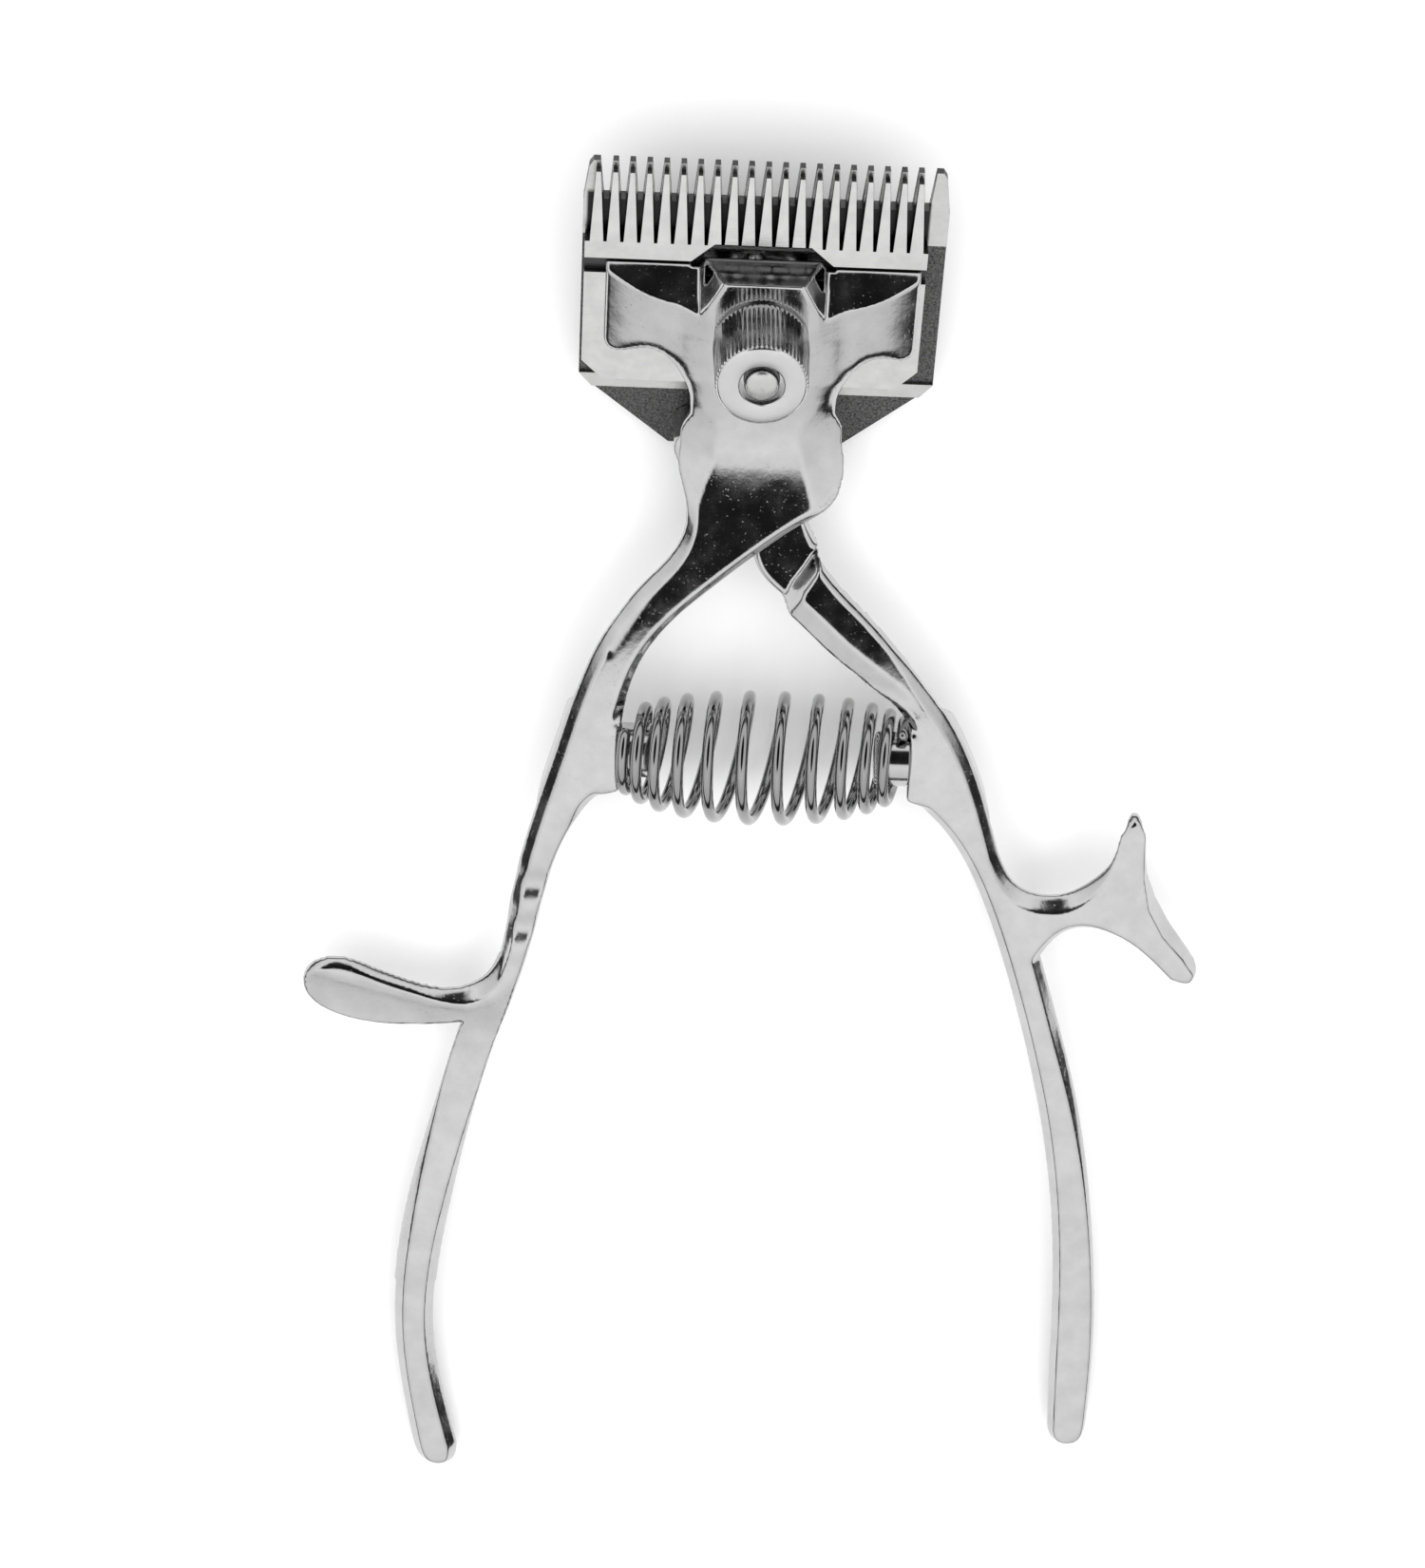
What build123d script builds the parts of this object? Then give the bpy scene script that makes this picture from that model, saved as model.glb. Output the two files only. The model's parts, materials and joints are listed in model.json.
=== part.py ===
from build123d import *
import os
from math import asin, atan2, cos, degrees, radians, sin, sqrt, tan

os.makedirs("parts", exist_ok=True)

# Manual hair clippers.  Sizes are in the blade frame: X across the teeth, Y towards the tooth
# tips, Z up through the thumb nut, and the pivot axis meets the comb's underside at the origin.
# The blade frame is tipped up by REST_TILT, so that the clippers lie on the heel of the comb
# and on the two handle ends.

# ---- driving dimensions (mm) ----
PITCH = 2.0                # tooth pitch, and the cutter's stroke
COMB_TEETH = 21            # tooth places on the comb, the two wide end teeth included
CUTTER_TEETH = 20
DRIVE_RADIUS = 6.6         # drive pin's distance from the pivot axis

COMB_HALF = 21.7           # half width over the end teeth
COMB_TIP = 19.6
COMB_GAP = 14.4            # bottom of the gaps between the comb teeth
COMB_TOOTH_ROOT = 0.72     # half width of a tooth at its root
COMB_TOOTH_TIP = 0.32
COMB_GROUND = 9.6          # rear edge of the ground tooth land
COMB_HEEL = -12.2          # rear edge of the rear rail
RAIL_WIDTH = 1.9
TAIL_END = -20.4
TAIL_HALF = 10.4
COMB_THICK = 2.6
RECESS_TOP = 2.1

RUNNING_GAP = 0.05         # face to face gap between pieces that slide on each other
CUTTER_HALF = 20.4
CUTTER_TIP = 18.8
CUTTER_ROOT = 9.9
CUTTER_TOOTH_ROOT = 0.82
CUTTER_TOOTH_TIP = 0.28
BAND_REAR = 7.6
GROOVE_REAR = 5.6
CUTTER_REAR = -9.6
CUTTER_THICK = 2.2
GROOVE_DEPTH = 0.9

PIN_RADIUS = 0.9           # drive pin
NOSE_WALL = 0.4            # metal round the drive pin
HUB_RADIUS = 6.4
HUB_THICK = 2.0
WASHER_THICK = 0.5
YOKE_THICK = 2.8           # centre boss over the hub
WING_HALF = 18.8
WING_FRONT = 7.4
WING_REAR = -3.0
WING_THICK = 3.2
LIP_START = 8.6            # inner end of the lips under the wings

STUD_RADIUS = 2.1
STUD_HEAD_RADIUS = 3.5
STUD_HEAD_THICK = 1.0
BORE_CLEARANCE = 0.06
NUT_RADIUS = 5.8
NUT_TOP_RADIUS = 5.4
NUT_HEIGHT = 9.2

POSTS = [(-8.0, -16.6), (8.6, -16.6)]   # posts from the neck down to the comb's tail
POST_RADIUS = 1.8
SCREW_RADIUS = 1.2
SCREW_LENGTH = 4.6
SCREW_HEAD_RADIUS = 2.1
SINK_DEPTH = 1.1
SINK_ANGLE = 42

NECK_DEPTH = 3.0           # thickness of the neck where the lower arm passes under it
ARM_GAP = 1.2
ARM_DEPTH = 3.0
HANDLE_DEPTH = 4.6
UPPER_END = -144.8         # end of the left handle
LOWER_END = -139.4         # end of the right handle, which is shorter
WIRE = 1.5                 # handle spring's wire

# ---- derived levels ----
CUTTER_LOW = COMB_THICK + RUNNING_GAP
CUTTER_TOP = CUTTER_LOW + CUTTER_THICK
HUB_LOW = CUTTER_TOP + RUNNING_GAP
HUB_TOP = HUB_LOW + HUB_THICK
WASHER_LOW = HUB_TOP + RUNNING_GAP
YOKE_LOW = WASHER_LOW + WASHER_THICK
YOKE_TOP = YOKE_LOW + YOKE_THICK
WING_LOW = CUTTER_TOP + RUNNING_GAP
NUT_LOW = YOKE_TOP + RUNNING_GAP
NUT_TOP = NUT_LOW + NUT_HEIGHT
SWING = 2 * degrees(asin(PITCH / 2 / DRIVE_RADIUS))

# ---- side shape of the handles: a steep neck and then a long shallow handle ----
FLAT_END = -9.0
NECK_BEND = -15.2
HANDLE_BEND = -35.5
NECK_SLOPE = tan(radians(34))
HANDLE_SLOPE = tan(radians(19.4))


def soft_bend(distance, rounding):
    """Zero before a bend and equal to distance after it, rounded over about rounding."""
    return (distance + sqrt(distance * distance + rounding * rounding)) / 2


def crest(y):
    """Height of the handles' top over the comb's underside."""
    if y >= FLAT_END:
        return YOKE_TOP
    neck = NECK_SLOPE * soft_bend(NECK_BEND - y, 2.0)
    handle = (NECK_SLOPE - HANDLE_SLOPE) * soft_bend(HANDLE_BEND - y, 10.0)
    return YOKE_TOP + neck - handle


END_CONTACT = UPPER_END + 2.0
REST_TILT = degrees(atan2(crest(END_CONTACT) - HANDLE_DEPTH, TAIL_END - END_CONTACT))

BLADE = Plane(
    origin=(0, 0, 0),
    x_dir=(1, 0, 0),
    z_dir=(0, -sin(radians(REST_TILT)), cos(radians(REST_TILT))),
)
SIDE = Plane(origin=(0, 0, 0), x_dir=BLADE.y_dir, z_dir=BLADE.x_dir)
DEEP = 80.0                # more than any height or half width


def polar(radius, angle):
    """Point at angle degrees clockwise from +Y about the pivot."""
    return (radius * sin(radians(angle)), radius * cos(radians(angle)))


DRIVE_AT = polar(DRIVE_RADIUS, -SWING / 2)


def side_slab(depths_top, depths_low):
    """Face in the side plane between two curves, each given as (y, depth under the crest)."""
    upper = [(y, crest(y) - depth) for y, depth in depths_top]
    lower = [(y, crest(y) - depth) for y, depth in depths_low]
    with BuildSketch(SIDE) as slab:
        with BuildLine():
            Line(upper[0], upper[1])
            Spline(*upper[1:])
            Line(upper[-1], lower[-1])
            Spline(*lower[:0:-1])
            Line(lower[1], lower[0])
            Line(lower[0], upper[0])
        make_face()
    return slab.sketch


# ---- comb_blade: fixed lower blade with its tail ----
with BuildPart() as comb_blade:
    with BuildSketch(BLADE) as comb_outline:
        with BuildLine():
            Polyline(
                (-COMB_HALF, COMB_GAP),
                (-COMB_HALF, COMB_HEEL + RAIL_WIDTH),
                (-COMB_HALF + 1.6, COMB_HEEL),
                (-TAIL_HALF, TAIL_END),
                (TAIL_HALF, TAIL_END),
                (COMB_HALF - 1.6, COMB_HEEL),
                (COMB_HALF, COMB_HEEL + RAIL_WIDTH),
                (COMB_HALF, COMB_GAP),
                close=True,
            )
        make_face()
    extrude(amount=COMB_THICK)
    # teeth
    with BuildSketch(BLADE):
        for place in range(1, COMB_TEETH - 1):
            x = (place - (COMB_TEETH - 1) / 2) * PITCH
            with BuildLine():
                Polyline(
                    (x - COMB_TOOTH_ROOT, COMB_GAP - 0.2),
                    (x - COMB_TOOTH_TIP, COMB_TIP),
                    (x + COMB_TOOTH_TIP, COMB_TIP),
                    (x + COMB_TOOTH_ROOT, COMB_GAP - 0.2),
                    close=True,
                )
            make_face()
        for side in (-1, 1):
            with BuildLine():
                Polyline(
                    (side * (COMB_HALF - 2.4), COMB_GAP - 0.2),
                    (side * (COMB_HALF - 1.9), COMB_TIP),
                    (side * (COMB_HALF - 1.1), COMB_TIP),
                    (side * (COMB_HALF - 0.6), COMB_TIP - 0.8),
                    (side * COMB_HALF, COMB_GAP - 0.2),
                    close=True,
                )
            make_face()
    extrude(amount=COMB_THICK)
    # the teeth thin out on their underside
    with BuildSketch(SIDE):
        with BuildLine():
            Polyline((COMB_GROUND, 0), (COMB_TIP + 1, 0), (COMB_TIP + 1, 1.5), close=True)
        make_face()
    extrude(amount=DEEP, both=True, mode=Mode.SUBTRACT)
    # milled recess between the ground tooth land and the rear rail, and the lower tail
    with BuildSketch(BLADE.offset(RECESS_TOP)):
        with Locations((0, (COMB_GROUND + COMB_HEEL + RAIL_WIDTH) / 2)):
            Rectangle(DEEP, COMB_GROUND - COMB_HEEL - RAIL_WIDTH)
        with Locations((0, (COMB_HEEL + TAIL_END - 2) / 2)):
            Rectangle(DEEP, COMB_HEEL - TAIL_END + 2)
    extrude(amount=DEEP, mode=Mode.SUBTRACT)
    # bore for the stud, with a counterbore for its head below
    with Locations(BLADE):
        Cylinder(STUD_RADIUS, 3 * COMB_THICK, mode=Mode.SUBTRACT)
        Cylinder(
            STUD_HEAD_RADIUS,
            STUD_HEAD_THICK,
            align=(Align.CENTER, Align.CENTER, Align.MIN),
            mode=Mode.SUBTRACT,
        )
    # countersunk holes for the comb screws
    with BuildSketch(BLADE):
        with Locations(*POSTS):
            Circle(SCREW_RADIUS + BORE_CLEARANCE)
    extrude(amount=COMB_THICK, mode=Mode.SUBTRACT)
    with BuildSketch(BLADE):
        with Locations(*POSTS):
            Circle(SCREW_HEAD_RADIUS + 0.1)
    extrude(amount=SINK_DEPTH, taper=SINK_ANGLE, mode=Mode.SUBTRACT)
comb_blade.part.label = "comb_blade"
export_step(comb_blade.part, "parts/comb_blade.step")


# ---- comb_screws: two countersunk screws from below ----
with BuildPart() as comb_screws:
    with BuildSketch(BLADE.offset(RUNNING_GAP)):
        with Locations(*POSTS):
            Circle(SCREW_RADIUS)
    extrude(amount=SCREW_LENGTH)
    with BuildSketch(BLADE.offset(RUNNING_GAP)):
        with Locations(*POSTS):
            Circle(SCREW_HEAD_RADIUS - RUNNING_GAP)
    extrude(amount=SINK_DEPTH - 0.2, taper=SINK_ANGLE)
    # screwdriver slots
    with BuildSketch(BLADE):
        with Locations(*POSTS):
            Rectangle(3 * SCREW_HEAD_RADIUS, 0.5)
    extrude(amount=0.5, mode=Mode.SUBTRACT)
comb_screws.part.label = "comb_screws"
export_step(comb_screws.part, "parts/comb_screws.step")

# ---- cutter_blade: moving upper blade, at the left end of its stroke ----
CUTTER_AT = -PITCH / 2

with BuildPart() as cutter_blade:
    with BuildSketch(BLADE.offset(CUTTER_LOW)):
        with Locations((CUTTER_AT, (CUTTER_ROOT + CUTTER_REAR) / 2)):
            Rectangle(2 * CUTTER_HALF, CUTTER_ROOT - CUTTER_REAR)
        for tooth in range(CUTTER_TEETH):
            x = CUTTER_AT + (tooth - (CUTTER_TEETH - 1) / 2) * PITCH
            with BuildLine():
                Polyline(
                    (x - CUTTER_TOOTH_ROOT, CUTTER_ROOT - 0.2),
                    (x - CUTTER_TOOTH_TIP, CUTTER_TIP),
                    (x + CUTTER_TOOTH_TIP, CUTTER_TIP),
                    (x + CUTTER_TOOTH_ROOT, CUTTER_ROOT - 0.2),
                    close=True,
                )
            make_face()
    extrude(amount=CUTTER_THICK)
    # the rear corners are chamfered
    rear_corners = cutter_blade.edges().filter_by(Axis((0, 0, 0), BLADE.z_dir))
    rear_corners = rear_corners.sort_by(Axis((0, 0, 0), BLADE.y_dir))[:2]
    chamfer(rear_corners, 2.6)
    # the teeth thin out towards their tips
    with BuildSketch(SIDE):
        with BuildLine():
            Polyline(
                (CUTTER_ROOT, CUTTER_TOP),
                (CUTTER_TIP + 1, CUTTER_TOP - 1.1),
                (CUTTER_TIP + 1, CUTTER_TOP + 1),
                (CUTTER_ROOT, CUTTER_TOP + 1),
                close=True,
            )
        make_face()
    extrude(amount=DEEP, both=True, mode=Mode.SUBTRACT)
    # full width groove for the lips of the yoke
    with BuildSketch(BLADE.offset(CUTTER_TOP)):
        with Locations((CUTTER_AT, (BAND_REAR + GROOVE_REAR) / 2)):
            Rectangle(DEEP, BAND_REAR - GROOVE_REAR)
    extrude(amount=-GROOVE_DEPTH, mode=Mode.SUBTRACT)
    # slot round the stud, long enough for the stroke
    with BuildSketch(BLADE.offset(CUTTER_LOW)):
        with Locations((CUTTER_AT, 0)):
            SlotCenterToCenter(PITCH + 0.4, 2 * STUD_RADIUS + 0.6)
        # slot for the drive pin, which also moves a little along Y
        with Locations((DRIVE_AT[0], DRIVE_RADIUS)):
            SlotCenterToCenter(0.6, 2 * PIN_RADIUS + 0.1, rotation=90)
    extrude(amount=CUTTER_THICK, mode=Mode.SUBTRACT)
cutter_blade.part.label = "cutter_blade"
export_step(cutter_blade.part, "parts/cutter_blade.step")

# ---- drive_pin: pressed into the nose of the lower handle, works in the cutter's slot ----
with BuildPart() as drive_pin:
    with BuildSketch(BLADE.offset(CUTTER_LOW + 0.3)):
        with Locations(DRIVE_AT):
            Circle(PIN_RADIUS)
    extrude(amount=HUB_TOP - CUTTER_LOW - 0.3)
drive_pin.part.label = "drive_pin"
export_step(drive_pin.part, "parts/drive_pin.step")

# ---- pivot_stud: riveted into the comb, threaded for the nut ----
STUD_TOP = NUT_TOP + 0.2
with BuildPart() as pivot_stud:
    with BuildSketch(BLADE):
        Circle(STUD_HEAD_RADIUS)
    extrude(amount=STUD_HEAD_THICK)
    with BuildSketch(BLADE):
        Circle(STUD_RADIUS)
    extrude(amount=STUD_TOP)
    top_rim = pivot_stud.edges().sort_by(Axis((0, 0, 0), BLADE.z_dir))[-1]
    fillet(top_rim, 0.6)
pivot_stud.part.label = "pivot_stud"
export_step(pivot_stud.part, "parts/pivot_stud.step")


def ring(plane, outer, inner, height):
    """A washer standing on plane, about the pivot axis."""
    with BuildPart() as body:
        with BuildSketch(plane):
            Circle(outer)
            Circle(inner, mode=Mode.SUBTRACT)
        extrude(amount=height)
    return body.part


# ---- thrust_washer: between the hub and the yoke ----
thrust_washer = ring(BLADE.offset(WASHER_LOW), 5.0, STUD_RADIUS + 0.15, WASHER_THICK)
thrust_washer.label = "thrust_washer"
export_step(thrust_washer, "parts/thrust_washer.step")

# ---- tension_washer: under the tension spring, inside the nut ----
SPRING_WASHER = 0.5
tension_washer = ring(BLADE.offset(YOKE_TOP), 3.6, STUD_RADIUS + 0.15, SPRING_WASHER)
tension_washer.label = "tension_washer"
export_step(tension_washer, "parts/tension_washer.step")

# ---- thumb_nut: tall knurled nut, hollow below for the tension spring ----
NUT_CAVITY = 4.0
CAVITY_TOP = NUT_LOW + 5.6
KNURLS = 48
with BuildPart() as thumb_nut:
    with BuildSketch(BLADE.offset(NUT_LOW)):
        Circle(NUT_RADIUS)
    with BuildSketch(BLADE.offset(NUT_TOP)):
        Circle(NUT_TOP_RADIUS)
    loft()
    nut_rims = thumb_nut.edges().filter_by(GeomType.CIRCLE)
    chamfer(nut_rims, 0.35)
    with BuildSketch(BLADE.offset(NUT_LOW)):
        Circle(NUT_CAVITY)
    extrude(amount=CAVITY_TOP - NUT_LOW, mode=Mode.SUBTRACT)
    with BuildSketch(BLADE.offset(NUT_LOW)):
        Circle(STUD_RADIUS + BORE_CLEARANCE)
    extrude(amount=NUT_HEIGHT, mode=Mode.SUBTRACT)
    with BuildSketch(BLADE.offset(NUT_TOP)):
        Circle(STUD_RADIUS + 0.5)
    extrude(amount=-1.6, mode=Mode.SUBTRACT)
    # knurl: V grooves down the side
    with BuildSketch(BLADE.offset(NUT_LOW + 0.6)):
        with PolarLocations(NUT_RADIUS + 0.02, KNURLS):
            Rectangle(0.36, 0.36, rotation=45)
    extrude(amount=NUT_HEIGHT - 1.6, mode=Mode.SUBTRACT)
thumb_nut.part.label = "thumb_nut"
export_step(thumb_nut.part, "parts/thumb_nut.step")

# ---- tension_spring: inside the nut ----
TENSION_WIRE = 0.8
TENSION_RADIUS = 2.95
TENSION_TURNS = 3.5
TENSION_LOW = YOKE_TOP + SPRING_WASHER + TENSION_WIRE / 2 + 0.02
TENSION_HEIGHT = CAVITY_TOP - TENSION_LOW - TENSION_WIRE / 2 - 0.05
with BuildPart() as tension_spring:
    with BuildLine() as tension_coil:
        Helix(
            TENSION_HEIGHT / TENSION_TURNS,
            TENSION_HEIGHT,
            TENSION_RADIUS,
            center=BLADE.offset(TENSION_LOW).origin,
            direction=BLADE.z_dir,
        )
    with BuildSketch(Plane(tension_coil.line @ 0, z_dir=tension_coil.line % 0)):
        Circle(TENSION_WIRE / 2)
    sweep()
tension_spring.part.label = "tension_spring"
export_step(tension_spring.part, "parts/tension_spring.step")

# ---- spring pegs ----
PEG_Y = -50.1
PEG_Z = crest(PEG_Y) - HANDLE_DEPTH / 2
PEG_SHANK = 1.25
PEG_RADIUS = 3.4
PEG_LENGTH = 4.2
SHANK_LENGTH = 3.0
LEFT_SEAT = -15.0
RIGHT_SEAT = 20.8


def peg_plane(x, facing):
    """Plane at a spring seat, at height PEG_Z, that looks along facing times X."""
    corner = BLADE.from_local_coords(Vector(x, PEG_Y, PEG_Z))
    return Plane(origin=corner, x_dir=BLADE.y_dir, z_dir=facing * BLADE.x_dir)


def spring_peg(plane):
    """Turned peg on plane with a shank behind it."""
    with BuildPart() as peg:
        with BuildSketch(plane):
            Circle(PEG_RADIUS)
        extrude(amount=PEG_LENGTH)
        nose = peg.edges().sort_by(Axis(plane.origin, plane.z_dir))[-1]
        chamfer(nose, 0.6)
        with BuildSketch(plane):
            Circle(PEG_SHANK)
        extrude(amount=-SHANK_LENGTH)
    return peg.part


left_peg_at = peg_plane(LEFT_SEAT, 1)
right_peg_at = peg_plane(RIGHT_SEAT, -1)

left_spring_peg = spring_peg(left_peg_at)
left_spring_peg.label = "left_spring_peg"
export_step(left_spring_peg, "parts/left_spring_peg.step")

right_spring_peg = spring_peg(right_peg_at)
right_spring_peg.label = "right_spring_peg"
export_step(right_spring_peg, "parts/right_spring_peg.step")

# ---- upper_handle: T yoke, neck, thumb rest and handle in one forging ----
NECK_LEFT = [
    (-7.9, -9.0), (-9.6, -14.4), (-8.6, -19.8), (-8.6, -24.8), (-13.2, -30.4), (-18.8, -38.0),
    (-23.2, -50.2), (-27.6, -65.4), (-29.2, -73.6), (-32.6, -79.2),
]
REST_TOP = [(-32.6, -79.2), (-36.4, -79.7), (-44.6, -77.4), (-51.4, -76.2)]
REST_TIP = [(-51.4, -76.2), (-54.3, -79.8), (-50.2, -84.5)]
REST_LOW = [(-50.2, -84.5), (-42.2, -85.5), (-34.0, -85.0)]
GRIP_LEFT = [(-34.0, -85.0), (-37.0, -95.6), (-40.4, -110.0), (-41.4, -125.0), (-38.0, -142.4)]
GRIP_END = [(-38.0, -142.4), (-35.6, UPPER_END), (-33.6, -142.6)]
GRIP_RIGHT = [
    (-33.6, -142.6), (-36.5, -125.0), (-34.8, -109.6), (-30.4, -90.4), (-25.0, -73.0),
    (-21.2, -60.0), (-18.2, -56.0), (-15.0, -54.0),
]
SEAT_LEFT = [(-15.0, -54.0), (-15.0, -46.2)]
NECK_RIGHT = [
    (-15.0, -46.2), (-12.8, -39.2), (-4.7, -31.0), (6.6, -23.4), (11.6, -18.6), (11.2, -13.8),
    (9.2, -9.0),
]

UPPER_TOP = [
    (9.0, 0), (FLAT_END, 0), (-13, 0), (-16, 0), (-20, 0), (-26, 0), (-32, 0), (-38, 0), (-46, 0),
    (-70, 0), (-110, 0), (-150, 0),
]
UPPER_LOW = [(9.0, YOKE_THICK), (FLAT_END, YOKE_THICK)] + [
    (-13, NECK_DEPTH), (-16, NECK_DEPTH), (-20, NECK_DEPTH), (-26, NECK_DEPTH), (-32, NECK_DEPTH),
    (-38, HANDLE_DEPTH), (-46, HANDLE_DEPTH), (-70, HANDLE_DEPTH), (-110, HANDLE_DEPTH),
    (-150, HANDLE_DEPTH),
]

upper_slab = side_slab(UPPER_TOP, UPPER_LOW)

with BuildPart() as upper_handle:
    with BuildSketch(BLADE):
        with BuildLine():
            Line((9.2, -9.0), (9.2, 7.9))
            Line((9.2, 7.9), (-7.9, 7.9))
            Line((-7.9, 7.9), (-7.9, -9.0))
            Spline(*NECK_LEFT)
            Spline(*REST_TOP)
            Spline(*REST_TIP)
            Spline(*REST_LOW)
            Spline(*GRIP_LEFT)
            ThreePointArc(*GRIP_END)
            Spline(*GRIP_RIGHT)
            Line(*SEAT_LEFT)
            Spline(*NECK_RIGHT)
        make_face()
    extrude(amount=DEEP)
    extrude(upper_slab, amount=DEEP, both=True, mode=Mode.INTERSECT)
    # wings of the yoke, on the cutter
    with BuildSketch(BLADE.offset(WING_LOW)):
        with BuildLine():
            Polyline(
                (-WING_HALF, WING_FRONT - 0.1),
                (-WING_HALF, WING_REAR + 0.9),
                (-WING_HALF + 0.9, WING_REAR),
                (-13.0, WING_REAR),
                (-9.6, -4.6),
                (-7.9, -9.0),
                (9.2, -9.0),
                (10.4, -5.2),
                (13.0, WING_REAR),
                (WING_HALF - 0.9, WING_REAR),
                (WING_HALF, WING_REAR + 0.9),
                (WING_HALF, WING_FRONT - 0.1),
                (10.6, 4.6),
                (6.6, 4.6),
                (5.0, 7.9),
                (-5.0, 7.9),
                (-6.6, 4.6),
                (-10.6, 4.6),
                close=True,
            )
        make_face()
    extrude(amount=WING_THICK)
    # lips that press on the cutter and run in its groove
    with BuildSketch(BLADE.offset(CUTTER_TOP - GROOVE_DEPTH + 0.1)):
        for side in (-1, 1):
            with Locations((side * (WING_HALF + LIP_START) / 2, (GROOVE_REAR + WING_FRONT + 0.1) / 2)):
                Rectangle(WING_HALF - LIP_START, WING_FRONT - GROOVE_REAR - 0.1)
    extrude(amount=GROOVE_DEPTH + 1.6)
    # room for the hub, its nose and the swing of the lower arm
    with BuildSketch(BLADE.offset(WING_LOW - 0.01)):
        Circle(HUB_RADIUS + 0.6)
        with Locations((0, 5.2)):
            Rectangle(8.4, 9.0)
        with Locations((-0.4, -10.0)):
            Rectangle(13.6, 20.0)
    extrude(amount=YOKE_LOW - WING_LOW + 0.01, mode=Mode.SUBTRACT)
    # stud bore
    with BuildSketch(BLADE):
        Circle(STUD_RADIUS + BORE_CLEARANCE)
    extrude(amount=DEEP / 2, mode=Mode.SUBTRACT)
    # posts down to the comb's tail, with tapped holes
    with BuildSketch(BLADE.offset(RECESS_TOP)):
        with Locations(*POSTS):
            Circle(POST_RADIUS)
    extrude(amount=crest(POSTS[0][1]) - RECESS_TOP - 1.5)
    with BuildSketch(BLADE):
        with Locations(*POSTS):
            Circle(SCREW_RADIUS)
    extrude(amount=SCREW_LENGTH + 0.3, mode=Mode.SUBTRACT)
    with BuildSketch(left_peg_at):
        Circle(PEG_SHANK)
    extrude(amount=-SHANK_LENGTH, mode=Mode.SUBTRACT)
upper_handle.part.label = "upper_handle"
export_step(upper_handle.part, "parts/upper_handle.step")

# ---- lower_handle: hub, arm under the neck, finger hook and handle in one forging ----
ARM_LEFT = [
    (-2.6, -5.0), (-0.8, -16.0), (-0.1, -20.5), (-0.1, -26.0), (1.2, -30.4), (4.9, -33.5),
    (10.6, -37.9), (16.8, -42.1), (20.2, -45.2), (20.8, -47.0),
]
SEAT_RIGHT = [(20.8, -47.0), (20.8, -54.0)]
INNER = [
    (20.8, -54.0), (25.4, -58.0), (31.2, -67.2), (35.6, -78.6), (40.2, -94.0), (42.8, -107.0),
    (44.1, -121.0), (44.5, -132.0), (44.7, -136.8),
]
END_ARC = [(44.7, -136.8), (47.0, LOWER_END), (49.3, -136.8)]
OUTER_LOW = [(49.3, -136.8), (50.0, -126.0), (48.6, -110.0), (44.8, -91.0), (39.1, -73.2)]
HOOK_LOW = [
    (39.1, -73.2), (41.2, -70.0), (44.6, -68.8), (48.6, -69.7), (51.8, -71.6), (56.2, -75.0),
]
HOOK_TOE = [(56.2, -75.0), (58.9, -75.1), (59.3, -73.0)]
HOOK_OUT = [(59.3, -73.0), (54.4, -66.7), (52.2, -63.1), (51.1, -57.2)]
HOOK_TIP = [(51.1, -57.2), (49.4, -55.0), (47.8, -57.2)]
HOOK_IN = [(47.8, -57.2), (46.1, -62.1), (43.6, -64.3), (39.8, -65.3), (35.6, -64.1), (32.9, -60.8)]
ARM_RIGHT = [
    (32.9, -60.8), (29.8, -52.2), (25.8, -44.9), (21.6, -39.9), (15.2, -33.6), (9.9, -29.1),
    (7.4, -25.8), (5.4, -18.0), (3.4, -5.0),
]

ARM_TOP = NECK_DEPTH + ARM_GAP
ARM_LOW = ARM_TOP + ARM_DEPTH
LOWER_TOP = [(9.0, YOKE_TOP - HUB_TOP), (FLAT_END, YOKE_TOP - HUB_TOP)] + [
    (-13, ARM_TOP - 0.3), (-16, ARM_TOP), (-20, ARM_TOP), (-25, ARM_TOP), (-32, ARM_TOP),
    (-36.5, 0.4), (-40, 0), (-46, 0), (-70, 0), (-110, 0), (-150, 0),
]
LOWER_LOW = [(9.0, YOKE_TOP - HUB_LOW), (FLAT_END, YOKE_TOP - HUB_LOW)] + [
    (-13, ARM_LOW - 1.3), (-16, ARM_LOW), (-20, ARM_LOW), (-25, ARM_LOW), (-30, ARM_LOW),
    (-36, HANDLE_DEPTH + 1), (-41, HANDLE_DEPTH), (-50, HANDLE_DEPTH), (-70, HANDLE_DEPTH),
    (-110, HANDLE_DEPTH), (-150, HANDLE_DEPTH),
]

lower_slab = side_slab(LOWER_TOP, LOWER_LOW)

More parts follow.
